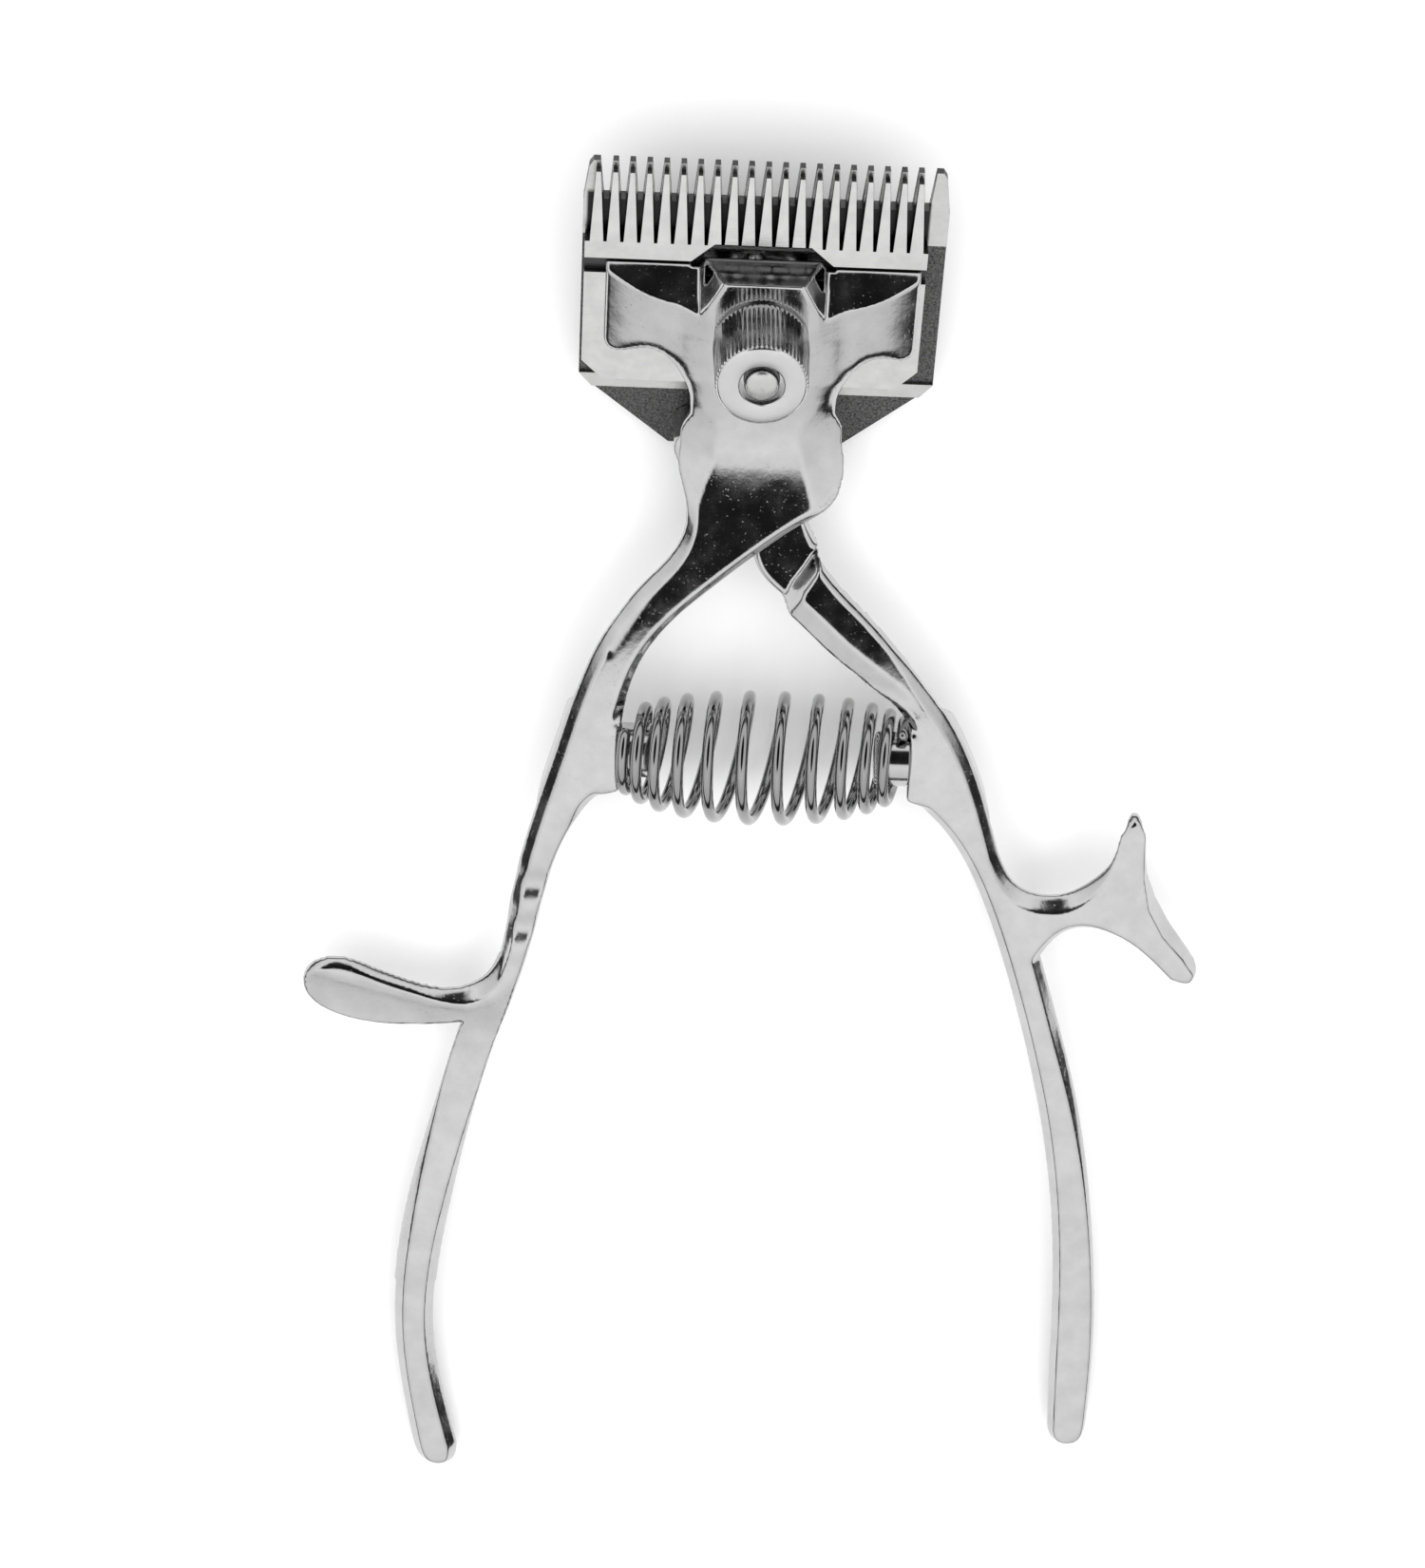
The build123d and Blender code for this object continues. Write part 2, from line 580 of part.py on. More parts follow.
with BuildPart() as lower_handle:
    with BuildSketch(BLADE):
        with BuildLine():
            Line((3.4, -5.0), (-2.6, -5.0))
            Spline(*ARM_LEFT)
            Line(*SEAT_RIGHT)
            Spline(*INNER)
            ThreePointArc(*END_ARC)
            Spline(*OUTER_LOW)
            Spline(*HOOK_LOW)
            ThreePointArc(*HOOK_TOE)
            Spline(*HOOK_OUT)
            ThreePointArc(*HOOK_TIP)
            Spline(*HOOK_IN)
            Spline(*ARM_RIGHT)
        make_face()
        Circle(HUB_RADIUS)
        with Locations(DRIVE_AT):
            Circle(PIN_RADIUS + NOSE_WALL)
        with Locations(polar(DRIVE_RADIUS / 2, -SWING / 2)):
            Rectangle(2 * PIN_RADIUS + 2 * NOSE_WALL, DRIVE_RADIUS, rotation=SWING / 2)
    extrude(amount=DEEP)
    extrude(lower_slab, amount=DEEP, both=True, mode=Mode.INTERSECT)
    with BuildSketch(BLADE):
        Circle(STUD_RADIUS + BORE_CLEARANCE)
        with Locations(DRIVE_AT):
            Circle(PIN_RADIUS)
    extrude(amount=YOKE_TOP, mode=Mode.SUBTRACT)
    with BuildSketch(right_peg_at):
        Circle(PEG_SHANK)
    extrude(amount=-SHANK_LENGTH, mode=Mode.SUBTRACT)
lower_handle.part.label = "lower_handle"
export_step(lower_handle.part, "parts/lower_handle.step")

# ---- handle_spring: barrel spring between the two pegs ----
SPRING_END_RADIUS = 5.1
SPRING_MID_RADIUS = 8.2
SPRING_TURNS = 11
spring_length = RIGHT_SEAT - LEFT_SEAT - WIRE - 0.2
half_length = spring_length / 2
FLARE = degrees(atan2(SPRING_MID_RADIUS - SPRING_END_RADIUS, half_length))
spring_mid = BLADE.from_local_coords(Vector((LEFT_SEAT + RIGHT_SEAT) / 2, PEG_Y, PEG_Z))


with BuildPart() as half_spring:
    with BuildLine() as coil:
        Helix(
            half_length / (SPRING_TURNS / 2),
            half_length,
            SPRING_MID_RADIUS,
            center=spring_mid,
            direction=BLADE.x_dir,
            cone_angle=-FLARE,
        )
    with BuildSketch(Plane(coil.line @ 0, z_dir=coil.line % 0)):
        Circle(WIRE / 2)
    sweep()

# the other half is the same wire carried on past the middle: half a turn about the line from
# the spring's centre to the point where the halves meet
turn_axis = Axis(spring_mid, coil.line @ 0 - spring_mid)

with BuildPart() as handle_spring:
    add(half_spring.part)
    add(half_spring.part.rotate(turn_axis, 180))
handle_spring.part.label = "handle_spring"
export_step(handle_spring.part, "parts/handle_spring.step")

print("swing", SWING, "tilt", REST_TILT)
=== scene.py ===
import json
import math

import bmesh
import bpy
import numpy as np
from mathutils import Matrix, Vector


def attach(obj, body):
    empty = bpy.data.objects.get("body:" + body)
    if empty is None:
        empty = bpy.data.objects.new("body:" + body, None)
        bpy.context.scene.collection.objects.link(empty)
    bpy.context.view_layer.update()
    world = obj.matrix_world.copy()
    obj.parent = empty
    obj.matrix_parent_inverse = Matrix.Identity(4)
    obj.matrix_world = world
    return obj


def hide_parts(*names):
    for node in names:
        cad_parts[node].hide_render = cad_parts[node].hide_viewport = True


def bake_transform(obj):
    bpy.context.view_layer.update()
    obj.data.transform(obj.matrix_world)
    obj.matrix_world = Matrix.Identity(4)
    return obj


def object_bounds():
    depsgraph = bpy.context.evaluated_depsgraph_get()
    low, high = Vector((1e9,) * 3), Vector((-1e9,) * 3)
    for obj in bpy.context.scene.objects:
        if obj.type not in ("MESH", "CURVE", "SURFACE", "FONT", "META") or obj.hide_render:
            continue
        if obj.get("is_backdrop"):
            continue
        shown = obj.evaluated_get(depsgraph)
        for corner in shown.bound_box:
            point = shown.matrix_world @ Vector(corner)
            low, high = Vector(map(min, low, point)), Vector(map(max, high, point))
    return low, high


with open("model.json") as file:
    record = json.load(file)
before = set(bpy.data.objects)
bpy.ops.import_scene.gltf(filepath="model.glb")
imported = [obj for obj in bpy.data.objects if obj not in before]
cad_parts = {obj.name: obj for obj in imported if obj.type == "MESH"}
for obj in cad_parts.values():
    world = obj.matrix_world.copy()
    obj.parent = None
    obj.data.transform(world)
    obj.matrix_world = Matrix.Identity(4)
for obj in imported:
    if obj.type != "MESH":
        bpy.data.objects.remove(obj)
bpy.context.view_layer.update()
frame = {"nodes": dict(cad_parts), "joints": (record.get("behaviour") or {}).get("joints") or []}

import openvdb
from mathutils import Matrix, Vector

MM = 0.001

# The blade frame: X across the teeth, Y towards their tips, Z up through the thumb nut, in
# millimetres.  It is tipped about X by the angle of the handles' hinge axis.
HINGE = next(j for j in frame["joints"] if j["name"] == "handle_squeeze")
TILT = math.atan2(HINGE["axis"][1], -HINGE["axis"][2])
BLADE = Matrix.Rotation(TILT, 4, "X") @ Matrix.Scale(MM, 4)

# ---- sizes, in millimetres ----
YOKE_TOP = 10.25           # top of the yoke over the comb's underside
YOKE_LOW = 7.45
WING_TOP = 8.1
WING_LOW = 4.9
LIP_LOW = 4.05             # underside of the lips that run in the cutter's groove
LIP_REAR = 5.7
LIP_FRONT = 7.3
STUD_RADIUS = 2.1
NECK_DEPTH = 3.0
HANDLE_DEPTH = 4.6
NECK_BEND = -15.2
HANDLE_BEND = -35.5
NECK_SLOPE = math.tan(math.radians(34))
HANDLE_SLOPE = math.tan(math.radians(19.4))
SWING = math.radians(HINGE["range_deg"][1])
NECK_ROUNDING = 4.5        # how softly the crest bends into the neck and into the handles
HANDLE_ROUNDING = 10.0
PEG_Y = -50.1
LEFT_SEAT = -15.0
RIGHT_SEAT = 20.8
WIRE_RADIUS = 0.75
CELL = 0.25                # cell of the grids that the forged handles are made on
BAND = 3.0                 # width of the band round a surface that its grid keeps
FORGED_EDGE = 0.4          # rounding of a forged piece's edges
BEVEL_WIDTH = 1.5          # bevels along the handles' edges
BEVEL_SLOPE = 1.1
ROLL_WIDTH = 0.5           # outermost part of a bevel, where it turns down
ROLL_SLOPE = 2.2
BORE_RADIUS = STUD_RADIUS + 0.06


def blade(x, y, z):
    """A place in the row frame, in metres, from millimetres in the blade frame."""
    return BLADE @ Vector((x, y, z))


def soft_bend(distance, rounding):
    """Zero before a bend and equal to distance after it, rounded over about rounding."""
    return (distance + np.sqrt(distance * distance + rounding * rounding)) / 2


def crest(y):
    """Height of the handles' top over the comb's underside."""
    neck = NECK_SLOPE * soft_bend(NECK_BEND - y, NECK_ROUNDING)
    handle = (NECK_SLOPE - HANDLE_SLOPE) * soft_bend(HANDLE_BEND - y, HANDLE_ROUNDING)
    return np.maximum(YOKE_TOP, YOKE_TOP + neck - handle)


# ---------------------------------------------------------------- materials

class Shader:
    """A Principled material with short calls for the nodes that vary it."""

    def __init__(self, name, colour, roughness, metallic=1.0):
        self.material = bpy.data.materials.new(name)
        self.material.use_nodes = True
        self.tree = self.material.node_tree
        self.main = self.tree.nodes["Principled BSDF"]
        self.main.inputs["Base Color"].default_value = (*colour, 1.0)
        self.main.inputs["Roughness"].default_value = roughness
        self.main.inputs["Metallic"].default_value = metallic
        place = self.tree.nodes.new("ShaderNodeTexCoord")
        turn = self.tree.nodes.new("ShaderNodeMapping")
        turn.inputs["Rotation"].default_value = (-TILT, 0, 0)
        turn.inputs["Scale"].default_value = (1 / MM, 1 / MM, 1 / MM)
        # the scale is applied before the rotation, so this is the blade frame in millimetres
        self.tree.links.new(place.outputs["Object"], turn.inputs["Vector"])
        self.place = turn.outputs["Vector"]

    def node(self, kind, **inputs):
        made = self.tree.nodes.new(kind)
        for name, value in inputs.items():
            self.feed(made.inputs[name.replace("_", " ")], value)
        return made

    def feed(self, socket, value):
        if isinstance(value, bpy.types.NodeSocket):
            self.tree.links.new(value, socket)
        else:
            socket.default_value = value

    def math(self, operation, first, second=0.0, clamp=False):
        made = self.tree.nodes.new("ShaderNodeMath")
        made.operation = operation
        made.use_clamp = clamp
        self.feed(made.inputs[0], first)
        self.feed(made.inputs[1], second)
        return made.outputs[0]

    def stretched(self, scale):
        made = self.tree.nodes.new("ShaderNodeVectorMath")
        made.operation = "MULTIPLY"
        self.feed(made.inputs[0], self.place)
        self.feed(made.inputs[1], scale)
        return made.outputs[0]

    def noise(self, scale, detail=3.0, vector=None, roughness=0.5):
        made = self.node("ShaderNodeTexNoise", Scale=scale, Detail=detail, Roughness=roughness)
        self.feed(made.inputs["Vector"], vector or self.place)
        return made.outputs["Fac"]

    def spread(self, value, low, high, to_low, to_high):
        made = self.tree.nodes.new("ShaderNodeMapRange")
        self.feed(made.inputs["Value"], value)
        self.feed(made.inputs["From Min"], low)
        self.feed(made.inputs["From Max"], high)
        self.feed(made.inputs["To Min"], to_low)
        self.feed(made.inputs["To Max"], to_high)
        return made.outputs["Result"]

    def mix(self, fac, first, second):
        made = self.tree.nodes.new("ShaderNodeMix")
        made.data_type = "RGBA"
        self.feed(made.inputs["Factor"], fac)
        self.feed(made.inputs[6], (*first, 1.0) if isinstance(first, tuple) else first)
        self.feed(made.inputs[7], (*second, 1.0) if isinstance(second, tuple) else second)
        return made.outputs[2]

    def axis(self, index):
        made = self.node("ShaderNodeSeparateXYZ", Vector=self.place)
        return made.outputs[index]

    def bump(self, *layers):
        """Each layer is a height value, and its depth in millimetres."""
        normal = None
        for height, depth in layers:
            made = self.tree.nodes.new("ShaderNodeBump")
            made.inputs["Strength"].default_value = 1.0
            made.inputs["Distance"].default_value = depth * MM
            self.feed(made.inputs["Height"], height)
            if normal is not None:
                self.feed(made.inputs["Normal"], normal)
            normal = made.outputs["Normal"]
        self.feed(self.main.inputs["Normal"], normal)


def chrome(name, colour, roughness, pits, ripple):
    """Plated and polished metal: slow ripples of the forging under it, fine pits, wiped haze."""
    s = Shader(name, colour, roughness)
    haze = s.noise(0.35, 4.0)
    pit = s.spread(s.noise(2.6, 2.0, roughness=0.6), 0.66, 0.74, 0.0, 1.0)
    rough = s.spread(haze, 0.35, 0.7, roughness * 0.7, roughness * 1.7)
    s.feed(s.main.inputs["Roughness"], s.math("ADD", rough, s.math("MULTIPLY", pit, 0.1)))
    tone = s.spread(haze, 0.3, 0.7, 0.0, 1.0)
    darker = tuple(c * 0.88 for c in colour)
    s.feed(s.main.inputs["Base Color"], s.mix(tone, darker, colour))
    waves = s.noise(0.3, 2.0)
    peel = s.noise(2.4, 3.0)
    s.bump((waves, ripple), (peel, ripple * 0.2), (s.math("SUBTRACT", 1.0, pit), pits))
    return s.material


def turned(name, colour, roughness, groove):
    """Turned metal: fine rings about the pivot axis."""
    s = Shader(name, colour, roughness)
    flat = s.stretched((1.0, 1.0, 0.0))
    length = s.tree.nodes.new("ShaderNodeVectorMath")
    length.operation = "LENGTH"
    s.feed(length.inputs[0], flat)
    rings = s.math("SINE", s.math("MULTIPLY", length.outputs["Value"], 46.0))
    haze = s.noise(0.8, 4.0)
    s.feed(s.main.inputs["Roughness"], s.spread(haze, 0.3, 0.7, roughness * 0.7, roughness * 1.5))
    darker = tuple(c * 0.86 for c in colour)
    s.feed(s.main.inputs["Base Color"], s.mix(haze, darker, colour))
    s.bump((rings, groove), (s.noise(6.0, 3.0), groove * 0.6))
    return s.material


def comb_finish():
    """Milled dark satin steel, ground bright on the tooth land and the rear rail, with painted shade on
    the land under the cutter's teeth.
    """
    s = Shader("comb_steel", (0.3, 0.3, 0.3), 0.4)
    raised = s.spread(s.axis(2), 2.25, 2.4, 0.0, 1.0)
    grain = s.noise(3.4, 6.0, roughness=0.8)
    blotch = s.noise(0.6, 3.0)
    dark = s.mix(s.spread(grain, 0.35, 0.65, 0.0, 1.0), (0.012, 0.012, 0.012), (0.2, 0.2, 0.197))
    bright = s.mix(blotch, (0.48, 0.48, 0.475), (0.6, 0.6, 0.59))
    # painted shade: the land is darkened where the cutter's teeth run over it, for the shade and dark
    # reflections between the teeth
    across = s.math("ABSOLUTE", s.math("ADD", s.axis(0), 0.9))
    shade_under_teeth = s.math(
        "MULTIPLY", s.spread(across, 20.2, 20.5, 1.0, 0.0), s.spread(s.axis(1), 15.2, 15.8, 1.0, 0.0)
    )
    shade_under_teeth = s.math("MULTIPLY", shade_under_teeth, s.spread(s.axis(1), 9.0, 9.4, 0.0, 1.0))
    bright = s.mix(shade_under_teeth, bright, (0.03, 0.03, 0.03))
    s.feed(s.main.inputs["Base Color"], s.mix(raised, dark, bright))
    lines = s.noise(1.0, 5.0, vector=s.stretched((0.7, 16.0, 16.0)))
    rough = s.math("ADD", s.spread(raised, 0.0, 1.0, 0.42, 0.2), s.spread(lines, 0.3, 0.7, -0.04, 0.08))
    s.feed(s.main.inputs["Roughness"], rough)
    s.bump((grain, 0.02), (lines, 0.006))
    return s.material


def cutter_finish():
    """Ground steel with cross scratches, and painted shade that darkens the groove."""
    s = Shader("cutter_steel", (0.72, 0.72, 0.71), 0.16)
    z = s.axis(2)
    low = s.spread(z, 4.3, 4.7, 1.0, 0.0)
    above_base = s.spread(z, 3.6, 3.7, 0.0, 1.0)
    y = s.axis(1)
    behind = s.spread(y, 7.75, 7.85, 1.0, 0.0)
    # painted shade: darkens the groove between the toothed band and the body
    groove = s.math("MULTIPLY", s.math("MULTIPLY", low, above_base), behind)
    lines = s.noise(1.0, 6.0, vector=s.stretched((0.35, 9.0, 9.0)))
    blotch = s.noise(0.5, 3.0)
    bright = s.mix(s.spread(blotch, 0.3, 0.7, 0.0, 1.0), (0.53, 0.53, 0.527), (0.6, 0.6, 0.595))
    s.feed(s.main.inputs["Base Color"], s.mix(groove, bright, (0.07, 0.07, 0.07)))
    rough = s.math("ADD", s.spread(lines, 0.3, 0.7, 0.1, 0.24), s.math("MULTIPLY", groove, 0.2))
    s.feed(s.main.inputs["Roughness"], rough)
    s.bump((lines, 0.0015), (s.noise(5.0, 3.0), 0.002))
    return s.material


CHROME = chrome("chrome", (0.5, 0.5, 0.5), 0.1, 0.006, 0.03)
PEG_CHROME = chrome("peg_chrome", (0.48, 0.48, 0.48), 0.12, 0.004, 0.01)
NUT_CHROME = turned("nut_chrome", (0.6, 0.6, 0.6), 0.16, 0.0015)
STUD_STEEL = turned("stud_steel", (0.56, 0.56, 0.555), 0.2, 0.003)
WIRE_STEEL = chrome("spring_steel", (0.31, 0.31, 0.31), 0.09, 0.003, 0.006)
COMB_STEEL = comb_finish()
CUTTER_STEEL = cutter_finish()
# near-black chrome for painted shade on the slot walls between the teeth
SLOT_WALL_SHADE = chrome("slot_wall_shade", (0.06, 0.06, 0.06), 0.35, 0.01, 0.006)
# darker chrome for painted shade on the boss's front face
APRON_SHADE = chrome("apron_shade", (0.2, 0.2, 0.2), 0.22, 0.006, 0.02)


# ---------------------------------------------------------------- pieces

def place(piece, body, slot, *nodes):
    """Rides the piece on its body and lets it stand for the CAD nodes."""
    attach(piece, body)
    if nodes:
        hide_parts(*nodes)
    return piece


def mesh_piece(name, points, faces, material, smooth=True):
    """A mesh from points in the blade frame, with outward faces."""
    mesh = bpy.data.meshes.new(name)
    mesh.from_pydata(points, [], faces)
    mesh.transform(BLADE)
    work = bmesh.new()
    work.from_mesh(mesh)
    bmesh.ops.recalc_face_normals(work, faces=work.faces)
    work.to_mesh(mesh)
    work.free()
    mesh.materials.append(material)
    mesh.polygons.foreach_set("use_smooth", [smooth] * len(mesh.polygons))
    piece = bpy.data.objects.new(name, mesh)
    bpy.context.scene.collection.objects.link(piece)
    return piece


# ---- forged shapes, made on a grid ----

def spline(points, step=0.8):
    """Points along a natural cubic curve through the given points, without the last one."""
    p = np.array(points, float)
    if len(p) == 2:
        count = max(2, int(np.linalg.norm(p[1] - p[0]) / step))
        return p[0] + np.linspace(0, 1, count, endpoint=False)[:, None] * (p[1] - p[0])
    t = np.concatenate([[0], np.cumsum(np.linalg.norm(np.diff(p, axis=0), axis=1))])
    n = len(t)
    h = np.diff(t)
    system = np.zeros((n, n))
    right = np.zeros((n, 2))
    system[0, 0] = system[-1, -1] = 1
    for i in range(1, n - 1):
        system[i, i - 1:i + 2] = h[i - 1], 2 * (h[i - 1] + h[i]), h[i]
        right[i] = 6 * ((p[i + 1] - p[i]) / h[i] - (p[i] - p[i - 1]) / h[i - 1])
    bend = np.linalg.solve(system, right)
    at = np.linspace(0, t[-1], max(4, int(t[-1] / step)), endpoint=False)
    i = np.clip(np.searchsorted(t, at, side="right") - 1, 0, n - 2)
    a = (t[i + 1] - at)[:, None]
    b = (at - t[i])[:, None]
    width = h[i][:, None]
    curve = (bend[i] * a ** 3 + bend[i + 1] * b ** 3) / (6 * width)
    curve += (p[i] / width - bend[i] * width / 6) * a
    return curve + (p[i + 1] / width - bend[i + 1] * width / 6) * b


def outline(*runs):
    return np.concatenate([spline(run) for run in runs])


def inside(x, y, loop):
    """Distance from the loop, positive inside it."""
    nearest = np.full(x.shape, 1e9)
    crossed = np.zeros(x.shape, bool)
    for (ax, ay), (bx, by) in zip(loop, np.roll(loop, -1, axis=0)):
        dx, dy = bx - ax, by - ay
        t = np.clip(((x - ax) * dx + (y - ay) * dy) / (dx * dx + dy * dy), 0, 1)
        nearest = np.minimum(nearest, (x - ax - t * dx) ** 2 + (y - ay - t * dy) ** 2)
        if dy:
            between = (ay > y) != (by > y)
            crossed ^= between & (x < ax + (y - ay) * dx / dy)
    return np.where(crossed, 1, -1) * np.sqrt(nearest)


def soft_max(a, b, blend):
    """The larger value, rounded over blend."""
    near = np.maximum(blend - np.abs(a - b), 0) / blend
    return np.maximum(a, b) + near * near * blend / 4


def soft_min(a, b, blend):
    return -soft_max(-a, -b, blend)


def step(value, low, high):
    """Zero below low, one above high, smooth between."""
    t = np.clip((value - low) / (high - low), 0, 1)
    return t * t * (3 - 2 * t)


def planform_grid(loop):
    low = loop.min(axis=0) - 3 * CELL
    high = loop.max(axis=0) + 3 * CELL
    xs = np.arange(low[0], high[0], CELL)
    ys = np.arange(low[1], high[1], CELL)
    return xs, ys, *np.meshgrid(xs, ys, indexing="ij")


def forged(name, xs, ys, edge, top, low, extra, floor=None):
    """A solid inside the planform, between two heights counted from the crest.

    edge is the distance inside the planform.  extra cuts or adds in the whole grid, which
    reaches down to floor."""
    ws = np.arange((low if floor is None else floor).min() - 4 * CELL, top.max() + 4 * CELL, CELL)
    w = ws[None, None, :]
    field = soft_max(-edge[:, :, None], w - top[:, :, None], FORGED_EDGE)
    field = soft_max(field, low[:, :, None] - w, FORGED_EDGE)
    field = extra(field, w)
    grid = openvdb.FloatGrid(BAND)
    grid.copyFromArray(np.clip(field, -BAND, BAND).astype(np.float32))
    points, quads = grid.convertToQuads(isovalue=0.0)
    x = xs[0] + CELL * points[:, 0]
    y = ys[0] + CELL * points[:, 1]
    z = ws[0] + CELL * points[:, 2] + crest(y)
    return mesh_piece(name, np.stack([x, y, z], 1).tolist(), quads.tolist(), CHROME)


# ---- upper handle: T yoke, neck, thumb rest and grip ----

WING_LEFT = [
    [(-18.8, 7.3), (-18.8, -3.3)],
    [(-18.8, -3.3), (-18.4, -4.2), (-17.3, -4.5)],
    [
        (-17.3, -4.5), (-15.5, -4.0), (-13.6, -3.3), (-11.3, -3.9), (-9.5, -5.8), (-8.3, -8.4),
        (-8.0, -11.4),
    ],
]
NECK_LEFT = [
    (-8.0, -11.4), (-9.6, -15.4), (-9.5, -18.0), (-8.5, -20.2), (-8.4, -24.8), (-13.2, -30.4),
    (-18.8, -38.0), (-23.2, -50.2), (-27.6, -65.4), (-29.0, -74.4),
]
REST = [
    (-29.0, -74.4), (-29.9, -77.3), (-31.9, -79.6), (-35.4, -80.5), (-39.6, -79.7), (-44.6, -78.1),
    (-50.6, -76.7), (-53.6, -78.3), (-53.7, -81.6), (-50.2, -84.5), (-42.2, -85.7), (-34.0, -85.0),
]
GRIP_LEFT = [(-34.0, -85.0), (-37.0, -95.6), (-40.6, -110.0), (-41.9, -125.0), (-39.3, -141.8)]
GRIP_END = [(-39.3, -141.8), (-38.1, -144.6), (-35.6, -145.6), (-33.5, -144.7), (-33.1, -142.2)]
GRIP_RIGHT = [
    (-33.1, -142.2), (-36.5, -125.0), (-34.8, -109.6), (-30.4, -90.4), (-25.0, -73.0),
    (-21.2, -60.0), (-18.2, -56.0), (-15.0, -54.0),
]
SEAT_UPPER = [(-15.0, -54.0), (-15.0, -46.2)]
NECK_RIGHT = [
    (-15.0, -46.2), (-12.8, -39.2), (-4.7, -31.0), (6.6, -23.4), (11.6, -18.6), (11.4, -15.0),
    (9.6, -11.0),
]
WING_RIGHT = [
    [(9.6, -11.0), (9.9, -8.0), (11.2, -5.7), (13.4, -3.9), (15.5, -4.0), (17.3, -4.5)],
    [(17.3, -4.5), (18.4, -4.2), (18.8, -3.3)],
    [(18.8, -3.3), (18.8, 7.3)],
]
WING_FRONT = [(18.8, 7.3), (8.6, 7.3), (7.2, 8.45), (-7.2, 8.45), (-8.6, 7.3), (-18.8, 7.3)]

# creases round the dark flat of the neck: inside them the top follows the crest
NECK_FLAT = np.array([
    (-60, -38.1), (-16.3, -38.1), (-10.9, -30.8), (-8.4, -27.6), (-6.7, -23.3), (-5.5, -19.4),
    (-4.5, -16.6), (-4.2, -13.0), (-4.8, -9.5), (-6.0, -6.0), (-6.2, 0.0), (-5.2, 12.0),
    (5.2, 12.0), (6.3, 0.0), (6.4, -6.0), (5.4, -9.5), (4.9, -13.2), (5.7, -17.1), (7.1, -21.9),
    (30, -38), (30, -160), (-60, -160),
], float)

# the flat that turns out of the grip and runs along the front edge of the thumb rest
REST_RIDGE = np.array([
    (60, -60), (-10, -60), (-24.0, -69.0), (-25.9, -73.0), (-26.6, -76.0), (-28.1, -79.0),
    (-30.4, -80.8), (-33.3, -81.5), (-37.8, -81.0), (-43.0, -79.8), (-50.4, -78.0), (-70, -72.5),
    (-70, 40), (60, 40),
], float)

FLANK_SLOPE = 0.42         # beside the neck's flat
WING_DROOP = 2.45          # how far the wings' ends hang
WAVE_HEIGHT = 0.26         # half height and length of the wave before the thumb rest
WAVE_LENGTH = 5.6
POSTS = ((-8.0, -16.6), (8.6, -16.6))
POST_RADIUS = 1.8
COMB_TOP = 2.1             # the tail's upper face, under the posts


def underside(y, edge):
    """How far a handle's rounded underside rises towards its edges, but not at the spring."""
    handle = step(-y, 31.0, 38.0)
    round_off = 1.2 * np.maximum(0, 1.2 + 1.2 * handle - edge) * step(-y, 12.0, 16.0)
    return round_off * np.where(handle > 0, step(np.abs(y - PEG_Y), 4.2, 7.0), 1.0)


def at_seat(x, y, seat, facing):
    """One close to a spring seat, where the handle's edge stays square."""
    across = 1 - step(np.abs(y - PEG_Y), 3.6, 5.6)
    return across * (1 - step(facing * (x - seat), 2.0, 3.5))


def rest_share(x, y):
    """One on the thumb rest, zero on the rest of the handle."""
    return (1 - step(x, -40.0, -31.0)) * step(-y, 72.0, 76.0) * (1 - step(-y, 85.5, 93.0))


